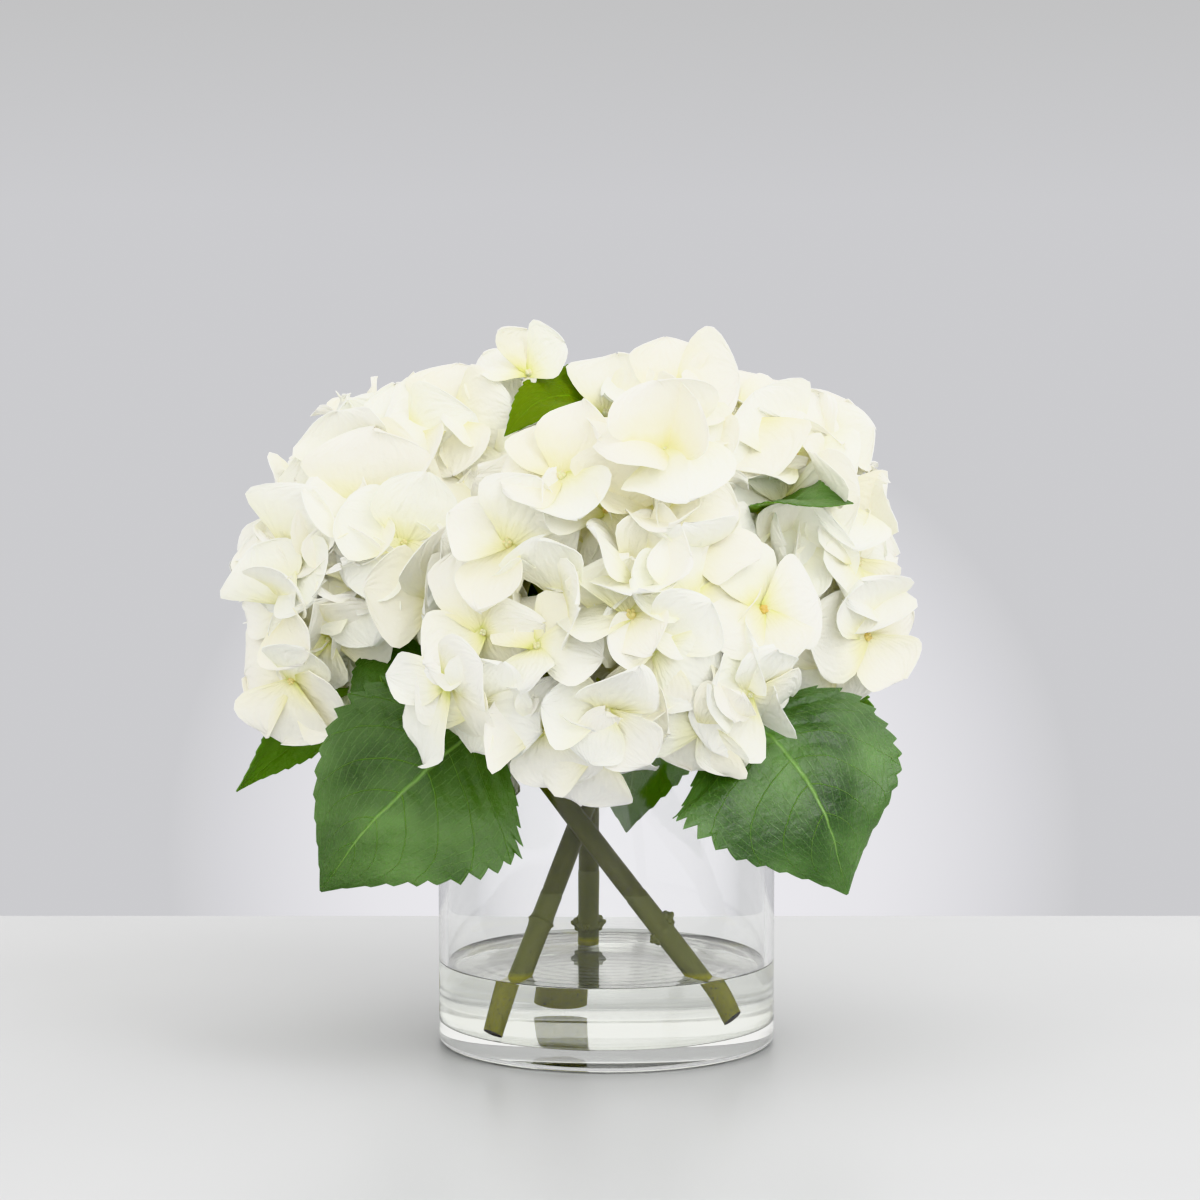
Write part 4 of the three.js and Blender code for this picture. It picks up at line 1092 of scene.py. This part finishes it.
def make_petals(head, florets, material):
    """All the petals of a head as thin closed blades."""
    parts = Parts()
    for floret in florets:
        for k in range(PETALS):
            points, r, s = petal_grid(floret, k)
            points = pressed(points, head, floret["seed"] + 0.13 * k)
            points = clear_of_rim(points)
            if in_gap(points) and not floret["hand"]:
                continue
            vertices, faces = blade(points, PETAL_THICKNESS)
            own = np.full(r.size, draw(floret["seed"], k + 130))
            codes = np.stack([r.ravel(), s.ravel(), own], axis=1)
            parts.add(vertices, faces, np.concatenate([codes, codes]))
    return parts.build(head["name"].replace("hydrangea_head", "petals"), [material], 60)


def make_eyes(head, florets, material):
    """The small knobbly eye in each floret's middle: a ball with four small knobs on it."""
    parts = Parts()
    for floret in florets:
        seed, facing = floret["seed"], floret["facing"]
        size = spread(seed, 140, *EYE_SIZES)
        own = draw(seed, 141)
        middle = floret["centre"] + facing * EYE_LIFT
        # The first code number sets the eye's painted shade: 0.5 on the ball beneath the knobs, 1 on the
        # knobs.
        parts.add(*ball(middle, (size, size * 0.8), facing, 7, 10), (0.5, 0, own))
        side = unit(np.cross(facing, (0.2, 0.3, 0.9)))
        other = np.cross(facing, side)
        for j in range(4):
            angle = math.pi / 2 * j + seed
            out = side * math.cos(angle) + other * math.sin(angle)
            knob = middle + facing * size * 0.5 + out * size * 0.55
            parts.add(*ball(knob, (size * 0.42, size * 0.42), facing, 5, 7), (1.0, 0, own))
    return parts.build(head["name"].replace("hydrangea_head", "eyes"), [material], 60)


def make_branches(head, florets, material):
    """Branches from the stem's top to the hubs, and each floret's stalk from its nearest hub."""
    parts = Parts()
    crown = np.array(STEMS[head["stem"]][-1])
    middle = head["centre"]
    hubs = []
    for i in range(HUBS):
        way = spiral_way(HUB_TOP - HUB_SPAN * (i + 0.5) / HUBS, GOLDEN_TURN * i)
        hubs.append(middle + way * head["radius"] * HUB_DEPTH)
    for hub in hubs:
        halfway = 0.5 * (crown + hub) + 0.1 * (hub - middle)
        centres, tangents = even_path([crown, halfway, hub], STALK_RINGS)
        radii = BRANCH_RADIUS * np.linspace(1.15, 0.7, STALK_RINGS)
        parts.add(*sweep(centres, tangents, radii, STALK_SIDES), (0.8, 0, 0.5))
    for floret in florets:
        hub = min(hubs, key=lambda p: np.linalg.norm(p - floret["centre"]))
        behind = floret["centre"] - floret["facing"] * STALK_END
        centres, tangents = even_path([hub, 0.5 * (hub + behind), behind, floret["centre"]], STALK_RINGS)
        radii = STALK_RADIUS * np.linspace(1.5, 1.0, STALK_RINGS)
        along = np.repeat(np.linspace(0.6, 0, STALK_RINGS), STALK_SIDES)
        codes = np.stack([along, along * 0, along * 0 + draw(floret["seed"], 142)], axis=1)
        parts.add(*sweep(centres, tangents, radii, STALK_SIDES), codes)
    return parts.build(head["name"].replace("hydrangea_head", "branches"), [material], 60)


# ------------------------------------------------------------------ stage


def make_floor():
    """The pale table top, in front of the pale backdrop and past the camera."""
    low, high = TABLE
    corners = [(x, y, z) for z in (low[2], high[2]) for y in (low[1], high[1]) for x in (low[0], high[0])]
    faces = [(0, 2, 3, 1), (4, 5, 7, 6), (0, 1, 5, 4), (2, 6, 7, 3), (0, 4, 6, 2), (1, 3, 7, 5)]
    parts = Parts()
    parts.add(corners, faces, (0, 0, 0))
    floor = parts.build("floor", [table_material()], 30)


def make_backdrop():
    """The world: the pale backdrop with its glow, the brighter ceiling and the bright studio in front."""
    world = bpy.data.worlds.new("backdrop")
    world.use_nodes = True
    nodes = Nodes(world.node_tree)
    way = nodes.node("ShaderNodeTexCoord").outputs["Generated"]
    _, forward, up = nodes.node("ShaderNodeSeparateXYZ", {0: way}).outputs
    colour = nodes.ramp(up, [(0.0, BACKDROP), (0.05, BACKDROP_TOP), (0.10, BACKDROP), (0.17, DOME)])
    glow_way = Vector(GLOW_WAY).normalized()
    near_vase = nodes.node("ShaderNodeVectorMath", {0: way, 1: glow_way}, operation="DOT_PRODUCT")
    nearness = nodes.map_range(near_vase.outputs["Value"], math.cos(math.radians(GLOW_REACH)))
    colour = nodes.mix(nearness, colour, GLOW)
    colour = nodes.mix(nodes.map_range(forward, *FRONT_FROM), colour, FRONT_FILL)
    nodes.fill(world.node_tree.nodes["Background"].inputs["Color"], colour)
    bpy.context.scene.world = world


def make_lamps():
    """Soft round lamps aimed at the flowers."""
    for name, place, size, power in LAMPS:
        light = bpy.data.lights.new(name, "AREA")
        light.shape = "DISK"
        light.size = size
        light.energy = power
        lamp = bpy.data.objects.new(name, light)
        lamp.location = place
        aim = Vector(LAMP_AIM) - Vector(place)
        lamp.rotation_euler = aim.to_track_quat("-Z", "Y").to_euler()
        bpy.context.scene.collection.objects.link(lamp)


def make_camera():
    """A camera where the photograph's was, and how its picture is made."""
    data = bpy.data.cameras.new("camera")
    data.lens = CAMERA_LENS
    data.sensor_width = 36.0
    camera = bpy.data.objects.new("camera", data)
    camera.location = CAMERA_PLACE
    camera.rotation_euler = (math.radians(90 - CAMERA_DOWN), 0, 0)
    bpy.context.scene.collection.objects.link(camera)
    bpy.context.scene.camera = camera
    bpy.context.scene.view_settings.view_transform = "Khronos PBR Neutral"
    cycles = bpy.context.scene.cycles
    cycles.max_bounces = 24
    cycles.transmission_bounces = 24
    cycles.diffuse_bounces = 14


# ------------------------------------------------------------------ the arrangement


def dress(piece, node):
    """Puts a piece on the body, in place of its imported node."""
    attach(piece, "root")
    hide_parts(node)


dress(make_vase(), "glass_vase")
dress(make_water(), "set_water")

bark = [stem_material(), pith_material()]
for stem_name in STEMS:
    dress(make_stem(stem_name, bark), stem_name)

stalk_look = stalk_material()
for leaf_number, leaf_row in enumerate(LEAVES):
    dress(make_leaf(leaf_number, stalk_look), leaf_row[0])

petal_look = petal_material()
eye_look = eye_material()
for one_head in HEADS:
    its_florets = florets_of(one_head)
    dress(make_petals(one_head, its_florets, petal_look), one_head["name"])
    dress(make_eyes(one_head, its_florets, eye_look), one_head["name"])
    dress(make_branches(one_head, its_florets, stalk_look), one_head["name"])

make_floor()
make_backdrop()
make_lamps()
make_camera()
